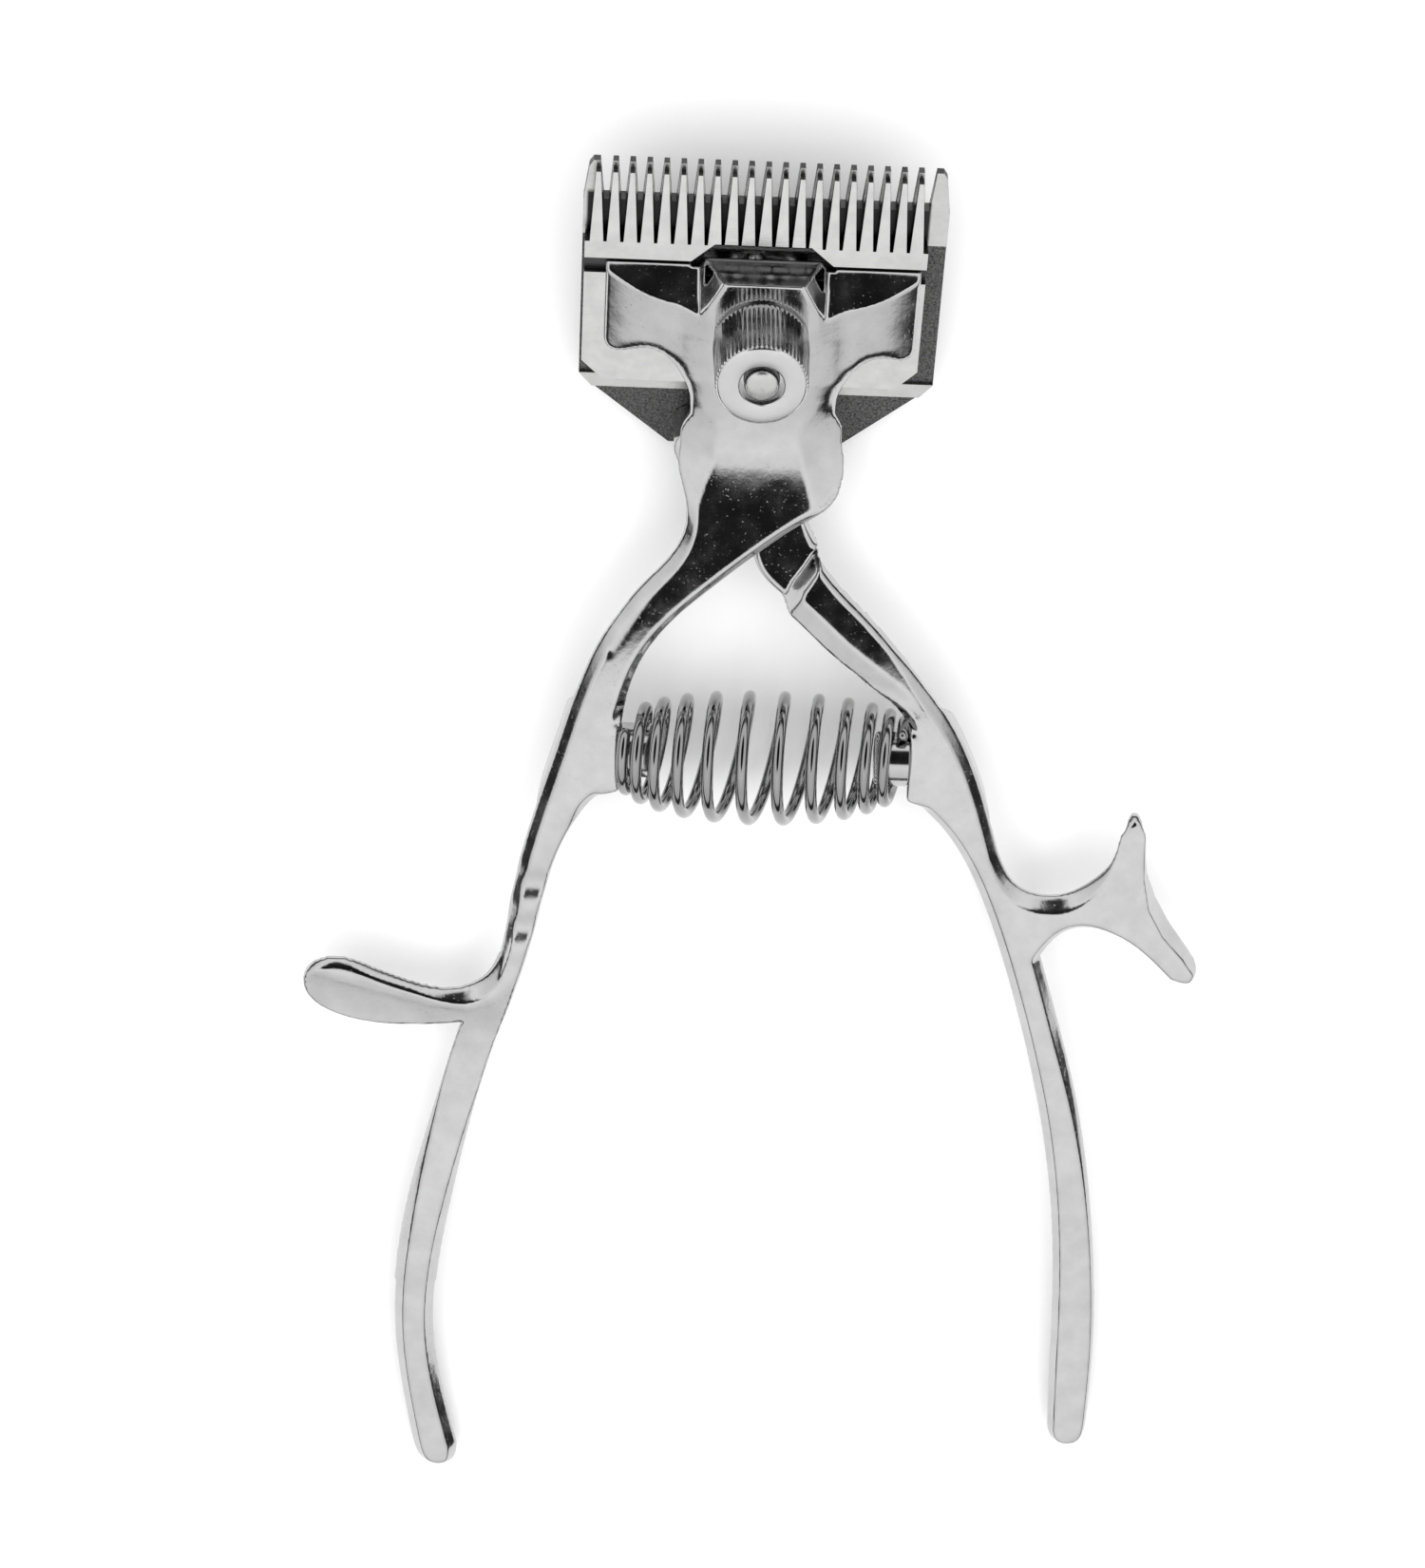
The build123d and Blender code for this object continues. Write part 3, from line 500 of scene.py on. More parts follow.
def upper_top(x, y, edge):
    """Top of the upper handle, counted from the crest."""
    side = np.abs(x)
    # flanks fall from the creases beside the flat, and level out into the wings, which droop
    fall = -FLANK_SLOPE * inside(x, y, NECK_FLAT)
    level = (YOKE_TOP - WING_TOP) + 8.0 * step(-y, 4.0, 17.0)
    droop = WING_DROOP * np.maximum(0, (side - 11.3) / 7.5) ** 1.6 * step(y, -14.0, -8.5)
    crease = 0.12 + 1.1 * step(y, -13.0, -8.0) * (1 - step(y, -1.0, 4.0))
    top = -soft_min(soft_max(fall, 0.0, crease), level, 0.9) - droop
    # the wings' rear edge rolls over
    roll = 0.11 * np.maximum(0, 1.7 - edge) ** 2 * step(side, 7.0, 9.0) * (1 - step(side, 15.0, 18.0))
    top = top - roll * (1 - step(y, -1.6, 0.6)) * step(y, -13.0, -8.5)
    # ground bevels down to the lips, parted from the boss by steep facets, which break through
    # to the hollow under the yoke in a small spot on each side, near |x| = 6.7 and y = 7.1
    slope = 0.94 + 0.03 * np.maximum(0, side - 12) + 0.16 * (1 - step(side, 7.0, 15.0))
    scoop = WING_LOW - YOKE_TOP + slope * (LIP_FRONT - y)
    facet = -1.93 * (side - 4.6) - 1.02 * (y - 7.9)
    apron = -8.5 * (y - 7.9)
    cut = np.maximum(scoop, np.minimum(facet, apron))
    top = np.where(y > -4, soft_min(top, cut, 0.12), top)
    # a slow wave in the flat before it turns into the thumb rest
    waved = step(-y, 60.0, 66.0) * (1 - step(-y, 73.5, 79.0))
    wave = waved * WAVE_HEIGHT * (np.sin((y + 70.2) / WAVE_LENGTH * 2 * math.pi) - 1)
    top = top + wave
    # bevels along the handle's edges
    rest = rest_share(x, y)
    steep = BEVEL_SLOPE + 0.15 * step(-y, 76.0, 92.0)
    free = 1 - at_seat(x, y, LEFT_SEAT, -1)
    # the right bevel is narrow where the flat waves
    right = step(x + 25.0 - 0.28 * (y + 65.0), -0.6, 0.6) * step(-y, 55.0, 60.0)
    width = BEVEL_WIDTH - 0.7 * rest - 0.9 * right * (1 - step(-y, 82.0, 92.0)) * (1 - rest)
    bevel = 0.5 * wave - steep * np.maximum(0, width - edge) * step(-y, 19.0, 25.0) * free
    top = soft_min(top, bevel, 0.35)
    top = soft_min(top, -ROLL_SLOPE * np.maximum(0, ROLL_WIDTH - edge) * free, 0.15)
    # thumb rest: a broad face falls away behind the ridge, a little hollow
    behind = np.maximum(0, -inside(x, y, REST_RIDGE))
    hollow = 0.22 * np.sin(np.clip(behind / 6.5, 0, 1) * math.pi)
    face = soft_min(0.3 * behind + hollow, 2.6 - 1.0 * step(-y, 82.0, 100.0), 1.4)
    return soft_min(top, -face * step(-y, 70.0, 74.0) * (1 - step(-y, 86.0, 118.0)), 0.3)


def upper_low(x, y, edge):
    """Underside of the upper handle, counted from the crest."""
    side = np.abs(x)
    low = np.where(y > -9, YOKE_LOW - YOKE_TOP, -NECK_DEPTH)
    low = low - (HANDLE_DEPTH - NECK_DEPTH) * step(-y, 32.0, 38.0)
    low = np.where((side > 7.0) & (y > -8.6), WING_LOW - YOKE_TOP, low)
    lip = (side > 8.6) & (y > LIP_REAR) & (y < LIP_FRONT + 0.3)
    low = np.where(lip, LIP_LOW - YOKE_TOP, low)
    # the boss's front face reaches down before the drive pin
    low = np.where((side < 8.6) & (y > 7.85), WING_LOW + 0.15 - YOKE_TOP, low)
    low = low + underside(y, edge)
    rest = rest_share(x, y)
    return low * (1 - rest) + rest * (-2.3 + 0.9 * np.maximum(0, 1.4 - edge))


def upper_handle():
    loop = outline(
        *WING_LEFT, NECK_LEFT, REST, GRIP_LEFT, GRIP_END, GRIP_RIGHT, SEAT_UPPER, NECK_RIGHT,
        *WING_RIGHT, *zip(WING_FRONT[:-1], WING_FRONT[1:]),
    )
    xs, ys, x, y = planform_grid(loop)
    edge = inside(x, y, loop)
    top = upper_top(x, y, edge)
    low = upper_low(x, y, edge)
    # below the thumb rest the underside stays under the falling face
    low = np.where((y < -76.0) & (y > -120.0), soft_min(low, top - 0.7, 0.8), low)
    height = crest(y)[:, :, None]

    def posts_and_bore(field, w):
        for post_x, post_y in POSTS:
            across = np.hypot(x - post_x, y - post_y)[:, :, None] - POST_RADIUS
            post = np.maximum(across, np.maximum(w - top[:, :, None] + 1.0, COMB_TOP - height - w))
            field = np.minimum(field, post)
        bore = BORE_RADIUS - np.hypot(x, y)[:, :, None]
        return np.maximum(field, bore)

    # the grid reaches down to the comb where the posts stand
    floor = low.copy()
    for post_x, post_y in POSTS:
        near = np.hypot(x - post_x, y - post_y) < POST_RADIUS + CELL
        floor = np.where(near, COMB_TOP - crest(y), floor)
    piece = forged("upper_handle_forging", xs, ys, edge, top, low, posts_and_bore, floor)
    # painted shade: the boss's front face, over the cutter, gets a darker chrome
    piece.data.materials.append(APRON_SHADE)
    into = BLADE.inverted()
    ahead = (BLADE.to_3x3() @ Vector((0, 1, 0))).normalized()
    for polygon in piece.data.polygons:
        middle = into @ polygon.center
        if middle.y > 7.75 and abs(middle.x) < 8.2 and polygon.normal.dot(ahead) > 0.55:
            polygon.material_index = 1
    return place(piece, "frame", "chrome", "upper_handle")


# ---- lower handle: hub, arm, finger hook and grip ----

ARM_LEFT = [
    (-2.6, -5.0), (-0.8, -16.0), (-0.1, -20.5), (-0.1, -26.0), (1.2, -30.4), (4.9, -33.5),
    (10.6, -37.9), (16.8, -42.1), (20.2, -45.2), (20.8, -47.0),
]
SEAT_LOWER = [(20.8, -47.0), (20.8, -54.0)]
INNER = [
    (20.8, -54.0), (25.4, -58.0), (31.2, -67.2), (35.6, -78.6), (40.2, -94.0), (42.8, -107.0),
    (44.1, -121.0), (44.5, -132.0), (44.7, -136.4),
]
END_LOWER = [
    (44.7, -136.4), (44.9, -138.0), (45.8, -139.1), (47.6, -139.4), (49.2, -138.7), (49.9, -136.4),
]
OUTER_LOW = [(49.9, -136.4), (50.0, -126.0), (48.6, -110.0), (44.8, -91.0), (39.2, -73.8)]
HOOK_LOW = [
    (39.2, -73.8), (41.5, -71.0), (45.0, -69.8), (48.8, -70.7), (51.8, -72.6), (55.5, -75.9),
]
HOOK_TOE = [(55.5, -75.9), (58.4, -76.2), (59.2, -73.9)]
HOOK_OUT = [(59.2, -73.9), (54.6, -67.2), (52.5, -63.1), (51.7, -57.4)]
HOOK_TIP = [(51.7, -57.4), (49.5, -55.2), (47.3, -57.4)]
HOOK_IN = [(47.3, -57.4), (45.9, -62.2), (43.4, -64.9), (39.8, -66.0), (35.5, -64.8), (32.9, -60.8)]
ARM_RIGHT = [
    (32.9, -60.8), (29.8, -52.2), (25.8, -44.9), (21.6, -39.9), (15.2, -33.6), (9.9, -29.1),
    (7.4, -25.8), (5.4, -18.0), (3.4, -5.0),
]
HOOK_RIDGE = np.array([
    (-10, -20), (50.7, -50), (50.8, -57.0), (51.1, -62.7), (52.1, -66.9), (54.2, -70.3),
    (57.0, -73.2), (60, -77), (60, -160), (-10, -160),
], float)
# the neck's lower edge by its distance from the pivot, as an angle from the handles' side
NECK_EDGE_RADIUS = (20.0, 23.9, 24.7, 27.1, 31.4, 35.4, 42.0)
NECK_EDGE_ANGLE = (32.0, 19.8, 15.5, 1.4, -8.6, -14.4, -20.0)
# depths under the crest
ARM_TOP = 4.2
HUB_TOP = 3.4
HUB_LOW = 5.35
ARM_LOW = 7.2

# its plan and its bevels
HUB_RADIUS = 6.4
NOSE_HALF = 1.3            # the nose that carries the drive pin: half width and reach
NOSE_END = 7.75
ARM_BEVEL = 0.8
SLANT_WIDTH = 3.0          # broad bevel along the arm's left side
SLANT_SLOPE = 0.5
HOOK_SLOPE = 2.2           # outer face of the cross piece


def lower_handle():
    loop = outline(
        ARM_LEFT, SEAT_LOWER, INNER, END_LOWER, OUTER_LOW, HOOK_LOW, HOOK_TOE, HOOK_OUT, HOOK_TIP,
        HOOK_IN, ARM_RIGHT, [(3.4, -5.0), (-2.6, -5.0)],
    )
    xs, ys, x, y = planform_grid(np.concatenate([loop, [(-6.6, 7.9)]]))
    edge = inside(x, y, loop)
    hub = HUB_RADIUS - np.hypot(x, y)
    half = SWING / 2
    along = -x * math.sin(half) + y * math.cos(half)
    across = np.abs(x * math.cos(half) + y * math.sin(half))
    nose = np.minimum(NOSE_HALF - across, np.minimum(along, NOSE_END - along))
    edge = np.maximum(edge, np.maximum(hub, nose))
    # the ridge rises where the neck never passes over it
    radius = np.hypot(x, y)
    angle = np.degrees(np.arctan2(x, -y))
    clear = angle - math.degrees(SWING) - np.interp(radius, NECK_EDGE_RADIUS, NECK_EDGE_ANGLE)
    risen = step(clear, 0.8, 4.4) * step(-y, 24.0, 27.0)
    low_top = -np.where(y > -9, HUB_TOP, HUB_TOP + (ARM_TOP - HUB_TOP) * step(-y, 9.0, 14.0))
    # the flat climbs to the crest a little more steeply than the crest itself
    dip = np.clip((y + 44.0) / 15.0, 0, 1)
    flat = low_top * (1 - risen) - dip * risen
    # edge bevels, narrower beside the arm's flat and round the cross piece's ends
    steep = BEVEL_SLOPE + 0.15 * step(-y, 70.0, 84.0)
    width = ARM_BEVEL + (BEVEL_WIDTH - ARM_BEVEL) * step(-y, 36.0, 44.0) - 0.8 * step(x, 41.0, 49.0)
    held = at_seat(x, y, RIGHT_SEAT, 1)
    bevel = -steep * np.maximum(0, width - edge) * step(-y, 22.0, 28.0) * (1 - held)
    outer = np.maximum(0, -inside(x, y, HOOK_RIDGE)) * step(x, 46.0, 49.0)
    beyond = step(outer, 0.0, 0.4)
    top = soft_min(flat, flat + bevel * (1 - beyond), 0.35)
    arm = np.concatenate([spline(ARM_LEFT), [(60, -47), (60, -5)]])
    slant = SLANT_SLOPE * np.maximum(0, SLANT_WIDTH - inside(x, y, arm)) * risen
    top = soft_min(top, flat - slant * (1 - step(-y, 40.0, 45.5)), 0.25)
    top = soft_min(top, flat - ROLL_SLOPE * np.maximum(0, ROLL_WIDTH - edge) * (1 - held), 0.15)
    # the cross piece's outer face slopes away from its ridge
    top = soft_min(top, -HOOK_SLOPE * outer, 0.12)
    low = -HUB_LOW - (ARM_LOW - HUB_LOW) * step(-y, 9.0, 15.0)
    low = low + (ARM_LOW - HANDLE_DEPTH) * step(-y, 31.0, 41.0)
    low = low + underside(y, edge) * step(-y, 30.0, 38.0)
    low = low + 1.8 * step(x, 43.0, 47.0) * step(y, -67.0, -59.0)
    # the arm's underside is well rounded
    tuck = 1.9 * np.maximum(0, 2.6 - edge) * step(-y, 20.0, 27.0) * (1 - step(-y, 36.0, 44.0))
    low = np.where(tuck > 0, np.minimum(low + tuck, np.maximum(low, top - 1.0)), low)

    def bore(field, w):
        return np.maximum(field, BORE_RADIUS - radius[:, :, None])

    piece = forged("lower_handle_forging", xs, ys, edge, top, low, bore)
    return place(piece, "lever", "chrome", "lower_handle")


# ---- thumb nut ----

NUT_LOW = 10.3
KNURLS = 60
KNURL_DEPTH = 0.3


def lathe(name, profile, material, around=96, at=None, crisp=35):
    """A profile of (radius, height) turned about Z, or placed by at; open ends are capped.

    A third number in a profile point gives its share of the knurling."""
    at = at or (lambda x, y, z: (x, y, z))
    points = []
    for radius, height, *knurled in profile:
        for i in range(around):
            tooth = abs((i % 6) / 3 - 1) * KNURL_DEPTH * (knurled[0] if knurled else 0)
            turn = 2 * math.pi * i / around
            out = radius - tooth
            points.append(at(out * math.cos(turn), out * math.sin(turn), height))
    closed = profile[0] == profile[-1]
    rings = len(profile) - 1
    if closed:
        del points[-around:]
    count = len(points)
    faces = []
    for ring in range(rings):
        for i in range(around):
            j = (i + 1) % around
            one, two = ring * around, (ring + 1) * around
            faces.append((one + i, one + j, (two + j) % count, (two + i) % count))
    if not closed:
        faces.append(tuple(range(around)))
        faces.append(tuple(rings * around + i for i in range(around)))
    piece = mesh_piece(name, points, faces, material)
    sharpen(piece, crisp)
    return piece


def thumb_nut():
    """Nut with straight knurling, a plain rim and a bore that shows the stud."""
    profile = [
        (4.0, 0.0), (5.3, 0.0), (5.55, 0.12), (5.72, 0.35), (5.76, 0.5, 0.3), (5.79, 0.7, 1),
        (5.72, 3.0, 1), (5.62, 6.0, 1), (5.52, 8.6, 1), (5.46, 8.8, 0.5), (5.36, 9.0), (5.22, 9.14),
        (5.0, 9.2), (4.0, 9.2), (2.95, 9.2), (2.78, 9.15), (2.68, 9.02), (2.65, 7.6), (2.16, 7.6),
        (2.16, 5.6), (4.0, 5.6), (4.0, 0.0),
    ]
    raised = [(r, NUT_LOW + h, *k) for r, h, *k in profile]
    piece = lathe("thumb_nut_knurled", raised, NUT_CHROME, around=KNURLS * 6, crisp=32)
    return place(piece, "nut", "nut_chrome", "thumb_nut")


def washer(name, node, low, high, inner, outer):
    ease = 0.08
    profile = [
        (inner, low), (outer - ease, low), (outer, low + ease), (outer, high - ease),
        (outer - ease, high), (inner + ease, high), (inner, high - ease), (inner, low),
    ]
    return place(lathe(name, profile, STUD_STEEL), "frame", "stud_steel", node)


def pivot_stud():
    """Stud with a flat head in the comb and a domed end, seen in the nut's bore."""
    profile = [
        (0.05, 0.04), (3.3, 0.04), (3.45, 0.2), (3.45, 0.96), (2.08, 0.98), (2.08, 19.1),
        (2.0, 19.35), (1.82, 19.52), (1.5, 19.61), (0.9, 19.66), (0.05, 19.68),
    ]
    piece = lathe("pivot_stud_turned", profile, STUD_STEEL)
    return place(piece, "frame", "stud_steel", "pivot_stud")


def spring_peg(name, body, node, seat, facing):
    """Turned peg that holds an end of the handle spring, with a shank in the handle."""
    middle = float(crest(np.array(PEG_Y))) - HANDLE_DEPTH / 2
    profile = [
        (0.05, -2.95), (1.15, -2.95), (1.2, -2.8), (1.2, 0.02), (3.2, 0.02), (3.38, 0.15),
        (3.38, 3.5), (3.3, 3.85), (3.05, 4.1), (2.7, 4.18), (0.05, 4.18),
    ]

    def at(x, y, z):
        return (seat + facing * z, PEG_Y + x, middle + y)

    return place(lathe(name, profile, PEG_CHROME, at=at), body, "nut_chrome", node)


def sharpen(piece, degrees):
    """Keeps the edges sharper than the angle crisp under smooth shading."""
    mesh = piece.data
    work = bmesh.new()
    work.from_mesh(mesh)
    limit = math.radians(degrees)
    for edge in work.edges:
        if len(edge.link_faces) == 2:
            edge.smooth = edge.calc_face_angle(0) < limit
    work.to_mesh(mesh)
    work.free()


# ---- springs ----

COIL_TURNS = 11
COIL_END = 4.6             # the handle spring's radius at its ends, and how much it swells
COIL_SWELL = 3.2
COIL_SAG = 0.9


def wire_coil(name, centre_line, radius_at, wire, turns, material, per_turn=56, around=14):
    """A round wire wound about centre_line(t), which gives a centre and two radial directions."""
    count = int(turns * per_turn)
    path = []
    for i in range(count + 1):
        t = i / count
        centre, first, second = centre_line(t)
        turn = 2 * math.pi * turns * t
        path.append(centre + radius_at(t) * (math.cos(turn) * first + math.sin(turn) * second))
    points = []
    for i, at in enumerate(path):
        ahead = path[min(i + 1, count)] - path[max(i - 1, 0)]
        ahead.normalize()
        centre = centre_line(i / count)[0]
        out = at - centre
        out = (out - ahead * out.dot(ahead)).normalized()
        up = ahead.cross(out)
        end = min(i, count - i)
        thin = wire * (0.82 if end == 0 else 1.0)
        for k in range(around):
            a = 2 * math.pi * k / around
            points.append(tuple(at + thin * (math.cos(a) * out + math.sin(a) * up)))
    faces = []
    for i in range(count):
        for k in range(around):
            j = (k + 1) % around
            faces.append((i * around + k, i * around + j, (i + 1) * around + j, (i + 1) * around + k))
    faces.append(tuple(range(around)))
    faces.append(tuple(count * around + k for k in range(around)))
    return mesh_piece(name, points, faces, material)


def handle_spring():
    """Barrel spring, wound closer at its ends and sagging a little towards the grips."""
    z = float(crest(np.array(PEG_Y))) - HANDLE_DEPTH / 2
    start = LEFT_SEAT + WIRE_RADIUS + 0.1
    length = RIGHT_SEAT - LEFT_SEAT - 2 * WIRE_RADIUS - 0.2

    def line(t):
        along = t - 0.42 * math.sin(2 * math.pi * t) / (2 * math.pi)
        sag = COIL_SAG * math.sin(math.pi * t)
        centre = Vector((start + length * along, PEG_Y - sag, z - sag * 0.36))
        return centre, Vector((-0.07, 0.94, 0.34)), Vector((-0.18, -0.34, 0.92))

    def radius(t):
        return COIL_END + COIL_SWELL * math.sin(math.pi * t) ** 0.9

    piece = wire_coil("handle_spring_wire", line, radius, WIRE_RADIUS, COIL_TURNS, WIRE_STEEL)
    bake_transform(piece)
    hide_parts("handle_spring")
    return piece


TENSION_RADIUS = 2.95
TENSION_WIRE = 0.4
TENSION_TURNS = 3.5
WASHER_THICK = 0.5
NUT_CAVITY = 5.6           # depth of the hollow that holds the tension spring


def tension_spring():
    low = YOKE_TOP + WASHER_THICK + TENSION_WIRE + 0.02
    rise = NUT_LOW + NUT_CAVITY - (TENSION_WIRE + 0.05) - low

    def line(t):
        return Vector((0, 0, low + rise * t)), Vector((1, 0, 0)), Vector((0, 1, 0))

    piece = wire_coil(
        "tension_spring_wire", line, lambda t: TENSION_RADIUS, TENSION_WIRE, TENSION_TURNS, WIRE_STEEL
    )
    return place(piece, "frame", "spring_steel", "tension_spring")


# ---- machined pieces: the CAD's shape with its edges broken ----

def relief():
    """A wedge that cuts the middle of the cutter's band down towards the groove."""
    low, rear, front = 4.05, 7.5, 10.2
    corners = []
    for x, y, z in ((8.6, rear, low), (5.6, front, 4.87), (5.6, front, 6.0), (8.6, rear, 6.0)):
        corners += [(-x - 0.2, y, z), (x - 0.2, y, z)]
    faces = [(0, 1, 3, 2), (2, 3, 5, 4), (4, 5, 7, 6), (6, 7, 1, 0), (0, 2, 4, 6), (1, 7, 5, 3)]
    return mesh_piece("relief", corners, faces, CUTTER_STEEL, smooth=False)


def eased(node, body, slot, width, material, angle=28, slot_shade=None, cut=None):
    """A copy of a CAD node with small bevels on its sharp edges."""
    mesh = frame["nodes"][node].data.copy()
    mesh.name = node + "_eased"
    work = bmesh.new()
    work.from_mesh(mesh)
    bmesh.ops.remove_doubles(work, verts=work.verts, dist=1e-6)
    bmesh.ops.dissolve_limit(
        work, angle_limit=math.radians(1.0), verts=work.verts, edges=work.edges
    )
    work.to_mesh(mesh)
    work.free()
    mesh.materials.clear()
    mesh.materials.append(material)
    piece = bpy.data.objects.new(node + "_eased", mesh)
    bpy.context.scene.collection.objects.link(piece)
    if cut:
        taken = piece.modifiers.new("cut", "BOOLEAN")
        taken.object = cut
        taken.solver = "EXACT"
    bevel = piece.modifiers.new("ease", "BEVEL")
    bevel.width = width * MM
    bevel.segments = 2
    bevel.limit_method = "ANGLE"
    bevel.angle_limit = math.radians(angle)
    bpy.context.view_layer.update()
    graph = bpy.context.evaluated_depsgraph_get()
    shaped = bpy.data.meshes.new_from_object(piece.evaluated_get(graph))
    piece.modifiers.clear()
    piece.data = shaped
    if cut:
        bpy.data.objects.remove(cut)
    shaped.polygons.foreach_set("use_smooth", [True] * len(shaped.polygons))
    sharpen(piece, 12)
    if slot_shade:
        # painted shade: the walls of the slots between the teeth get a near-black material
        shaped.materials.append(slot_shade)
        up = BLADE.to_3x3() @ Vector((0, 0, 1))
        up.normalize()
        into = BLADE.inverted()
        for polygon in shaped.polygons:
            if (into @ polygon.center).y > 9.5 and abs(polygon.normal.dot(up)) < 0.5:
                polygon.material_index = 1
    return place(piece, body, slot, node)


upper_handle()
lower_handle()
thumb_nut()
handle_spring()
tension_spring()
eased("comb_blade", "frame", "comb_steel", 0.06, COMB_STEEL, slot_shade=SLOT_WALL_SHADE)
eased("cutter_blade", "cutter", "cutter_steel", 0.05, CUTTER_STEEL, slot_shade=SLOT_WALL_SHADE, cut=relief())
spring_peg("left_peg_turned", "frame", "left_spring_peg", LEFT_SEAT, 1)
spring_peg("right_peg_turned", "lever", "right_spring_peg", RIGHT_SEAT, -1)
pivot_stud()
washer(
    "thrust_washer_turned", "thrust_washer", YOKE_LOW - WASHER_THICK, YOKE_LOW,
    STUD_RADIUS + 0.15, 5.0,
)
washer(
    "tension_washer_turned", "tension_washer", YOKE_TOP, YOKE_TOP + WASHER_THICK,
    STUD_RADIUS + 0.15, 3.6,
)
# the drive pin and the comb screws keep the CAD's shape
for kept in ("drive_pin", "comb_screws"):
    frame["nodes"][kept].data.materials.clear()
    frame["nodes"][kept].data.materials.append(STUD_STEEL)


# ---------------------------------------------------------------- studio

# brightness of the tent by the upward part of a direction: dark cloth near the floor
DARK_FOOT = ((0.0, 0.3), (0.04, 0.04), (0.2, 0.03), (0.32, 0.88), (0.45, 0.94), (1.0, 1.0))
TENT_STRENGTH = 1.27
# an oval opening above, its tilt and half widths in degrees
OPENING_TILT = 20.0
OPENING_HALF_X = 25.0
OPENING_HALF_Y = 33.0
# its brightness by distance from its middle, where one is its rim
OPENING = ((0.0, 0.01), (0.84, 0.015), (1.0, 1.0), (1.3, 1.1), (1.8, 0.95), (2.5, 0.9))
OPENING_REACH = 2.5
# floor and lamp, in metres and watts
FLOOR_HALF = 6.0
LAMP_SIZE = 2.0
LAMP_HEIGHT = 1.5
LAMP_POWER = 17.0

scene = bpy.context.scene
# where the camera stands and which way it looks, in the blade frame
CAMERA_AT = blade(-17.6, 259.4, 401.7)
CAMERA_LOOK = BLADE.to_3x3() @ Vector((0.0292, -0.6421, -0.7660))
CAMERA_UP = BLADE.to_3x3() @ Vector((-0.0348, 0.7653, -0.6428))
LENS = 90.04

backward = -CAMERA_LOOK.normalized()
right = CAMERA_UP.cross(backward).normalized()
upward = backward.cross(right)
camera_data = bpy.data.cameras.new("camera")
camera_data.lens = LENS
camera_data.sensor_width = 36.0
camera = bpy.data.objects.new("camera", camera_data)
facing = Matrix((right, upward, backward)).transposed().to_4x4()
camera.matrix_world = Matrix.Translation(CAMERA_AT) @ facing
scene.collection.objects.link(camera)
scene.camera = camera


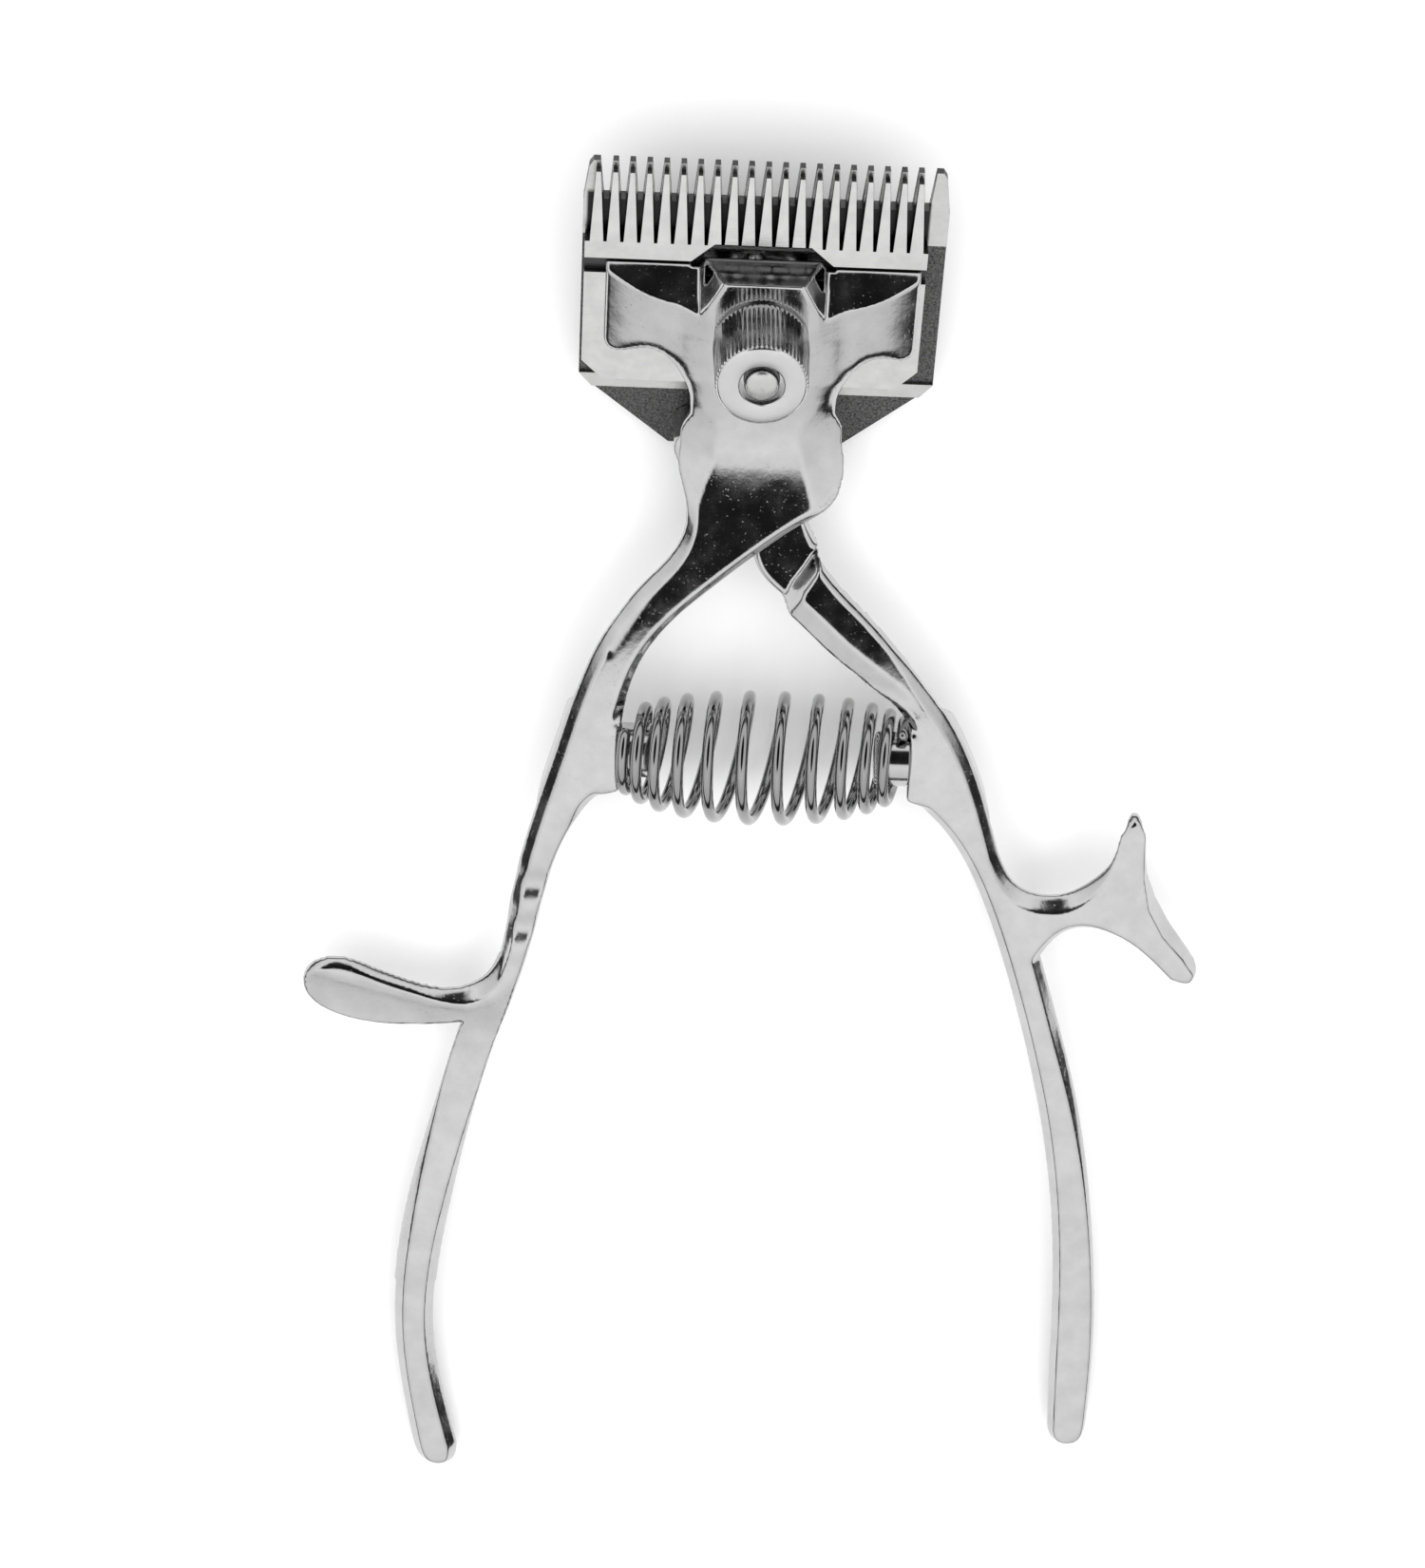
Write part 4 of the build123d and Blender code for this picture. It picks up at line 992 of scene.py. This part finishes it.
def floor():
    """A wide pale floor, just under the lowest point of the clippers."""
    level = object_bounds()[0][2]
    mesh = bpy.data.meshes.new("floor")
    size = FLOOR_HALF
    mesh.from_pydata(
        [(-size, -size, level), (size, -size, level), (size, size, level), (-size, size, level)],
        [],
        [(0, 1, 2, 3)],
    )
    shade = bpy.data.materials.new("floor_paper")
    shade.use_nodes = True
    main = shade.node_tree.nodes["Principled BSDF"]
    main.inputs["Base Color"].default_value = (0.93, 0.93, 0.93, 1.0)
    main.inputs["Roughness"].default_value = 0.9
    main.inputs["Specular IOR Level"].default_value = 0.1
    mesh.materials.append(shade)
    piece = bpy.data.objects.new("floor", mesh)
    scene.collection.objects.link(piece)
    piece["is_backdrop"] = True


def studio():
    """A pale tent, dark close to the floor and in a wide opening above, and a hidden lamp."""
    world = bpy.data.worlds.new("tent")
    scene.world = world
    world.use_nodes = True
    tree = world.node_tree

    def node(kind, **settings):
        made = tree.nodes.new(kind)
        for key, value in settings.items():
            setattr(made, key, value)
        return made

    def ramp(source, stops, top=1.0):
        scaled = node("ShaderNodeMath", operation="DIVIDE")
        tree.links.new(source, scaled.inputs[0])
        scaled.inputs[1].default_value = top
        made = node("ShaderNodeValToRGB")
        while len(made.color_ramp.elements) < len(stops):
            made.color_ramp.elements.new(0.5)
        for element, (at, value) in zip(made.color_ramp.elements, stops):
            element.position = at / top
            element.color = (value, value, value, 1.0)
        tree.links.new(scaled.outputs[0], made.inputs["Fac"])
        return made.outputs["Color"]

    way = node("ShaderNodeTexCoord").outputs["Generated"]
    parts = node("ShaderNodeSeparateXYZ")
    tree.links.new(way, parts.inputs[0])
    wall = ramp(parts.outputs["Z"], DARK_FOOT)
    turned_way = node("ShaderNodeVectorRotate", rotation_type="X_AXIS")
    tree.links.new(way, turned_way.inputs["Vector"])
    turned_way.inputs["Angle"].default_value = math.radians(OPENING_TILT)
    wide = node("ShaderNodeVectorMath", operation="MULTIPLY")
    tree.links.new(turned_way.outputs["Vector"], wide.inputs[0])
    wide.inputs[1].default_value = (
        1 / math.sin(math.radians(OPENING_HALF_X)), 1 / math.sin(math.radians(OPENING_HALF_Y)), 0
    )
    out = node("ShaderNodeVectorMath", operation="LENGTH")
    tree.links.new(wide.outputs["Vector"], out.inputs[0])
    opening = ramp(out.outputs["Value"], OPENING, top=OPENING_REACH)
    both = node("ShaderNodeMix", data_type="RGBA", blend_type="MULTIPLY")
    both.inputs["Factor"].default_value = 1.0
    tree.links.new(wall, both.inputs[6])
    tree.links.new(opening, both.inputs[7])
    background = tree.nodes["Background"]
    tree.links.new(both.outputs[2], background.inputs["Color"])
    background.inputs["Strength"].default_value = TENT_STRENGTH
    lamp_data = bpy.data.lights.new("soft_box", "AREA")
    lamp_data.shape = "DISK"
    lamp_data.size = LAMP_SIZE
    lamp_data.energy = LAMP_POWER
    lamp = bpy.data.objects.new("soft_box", lamp_data)
    lamp.location = (0, 0, LAMP_HEIGHT)
    lamp.visible_glossy = False
    scene.collection.objects.link(lamp)


floor()
studio()
scene.view_settings.view_transform = "Standard"
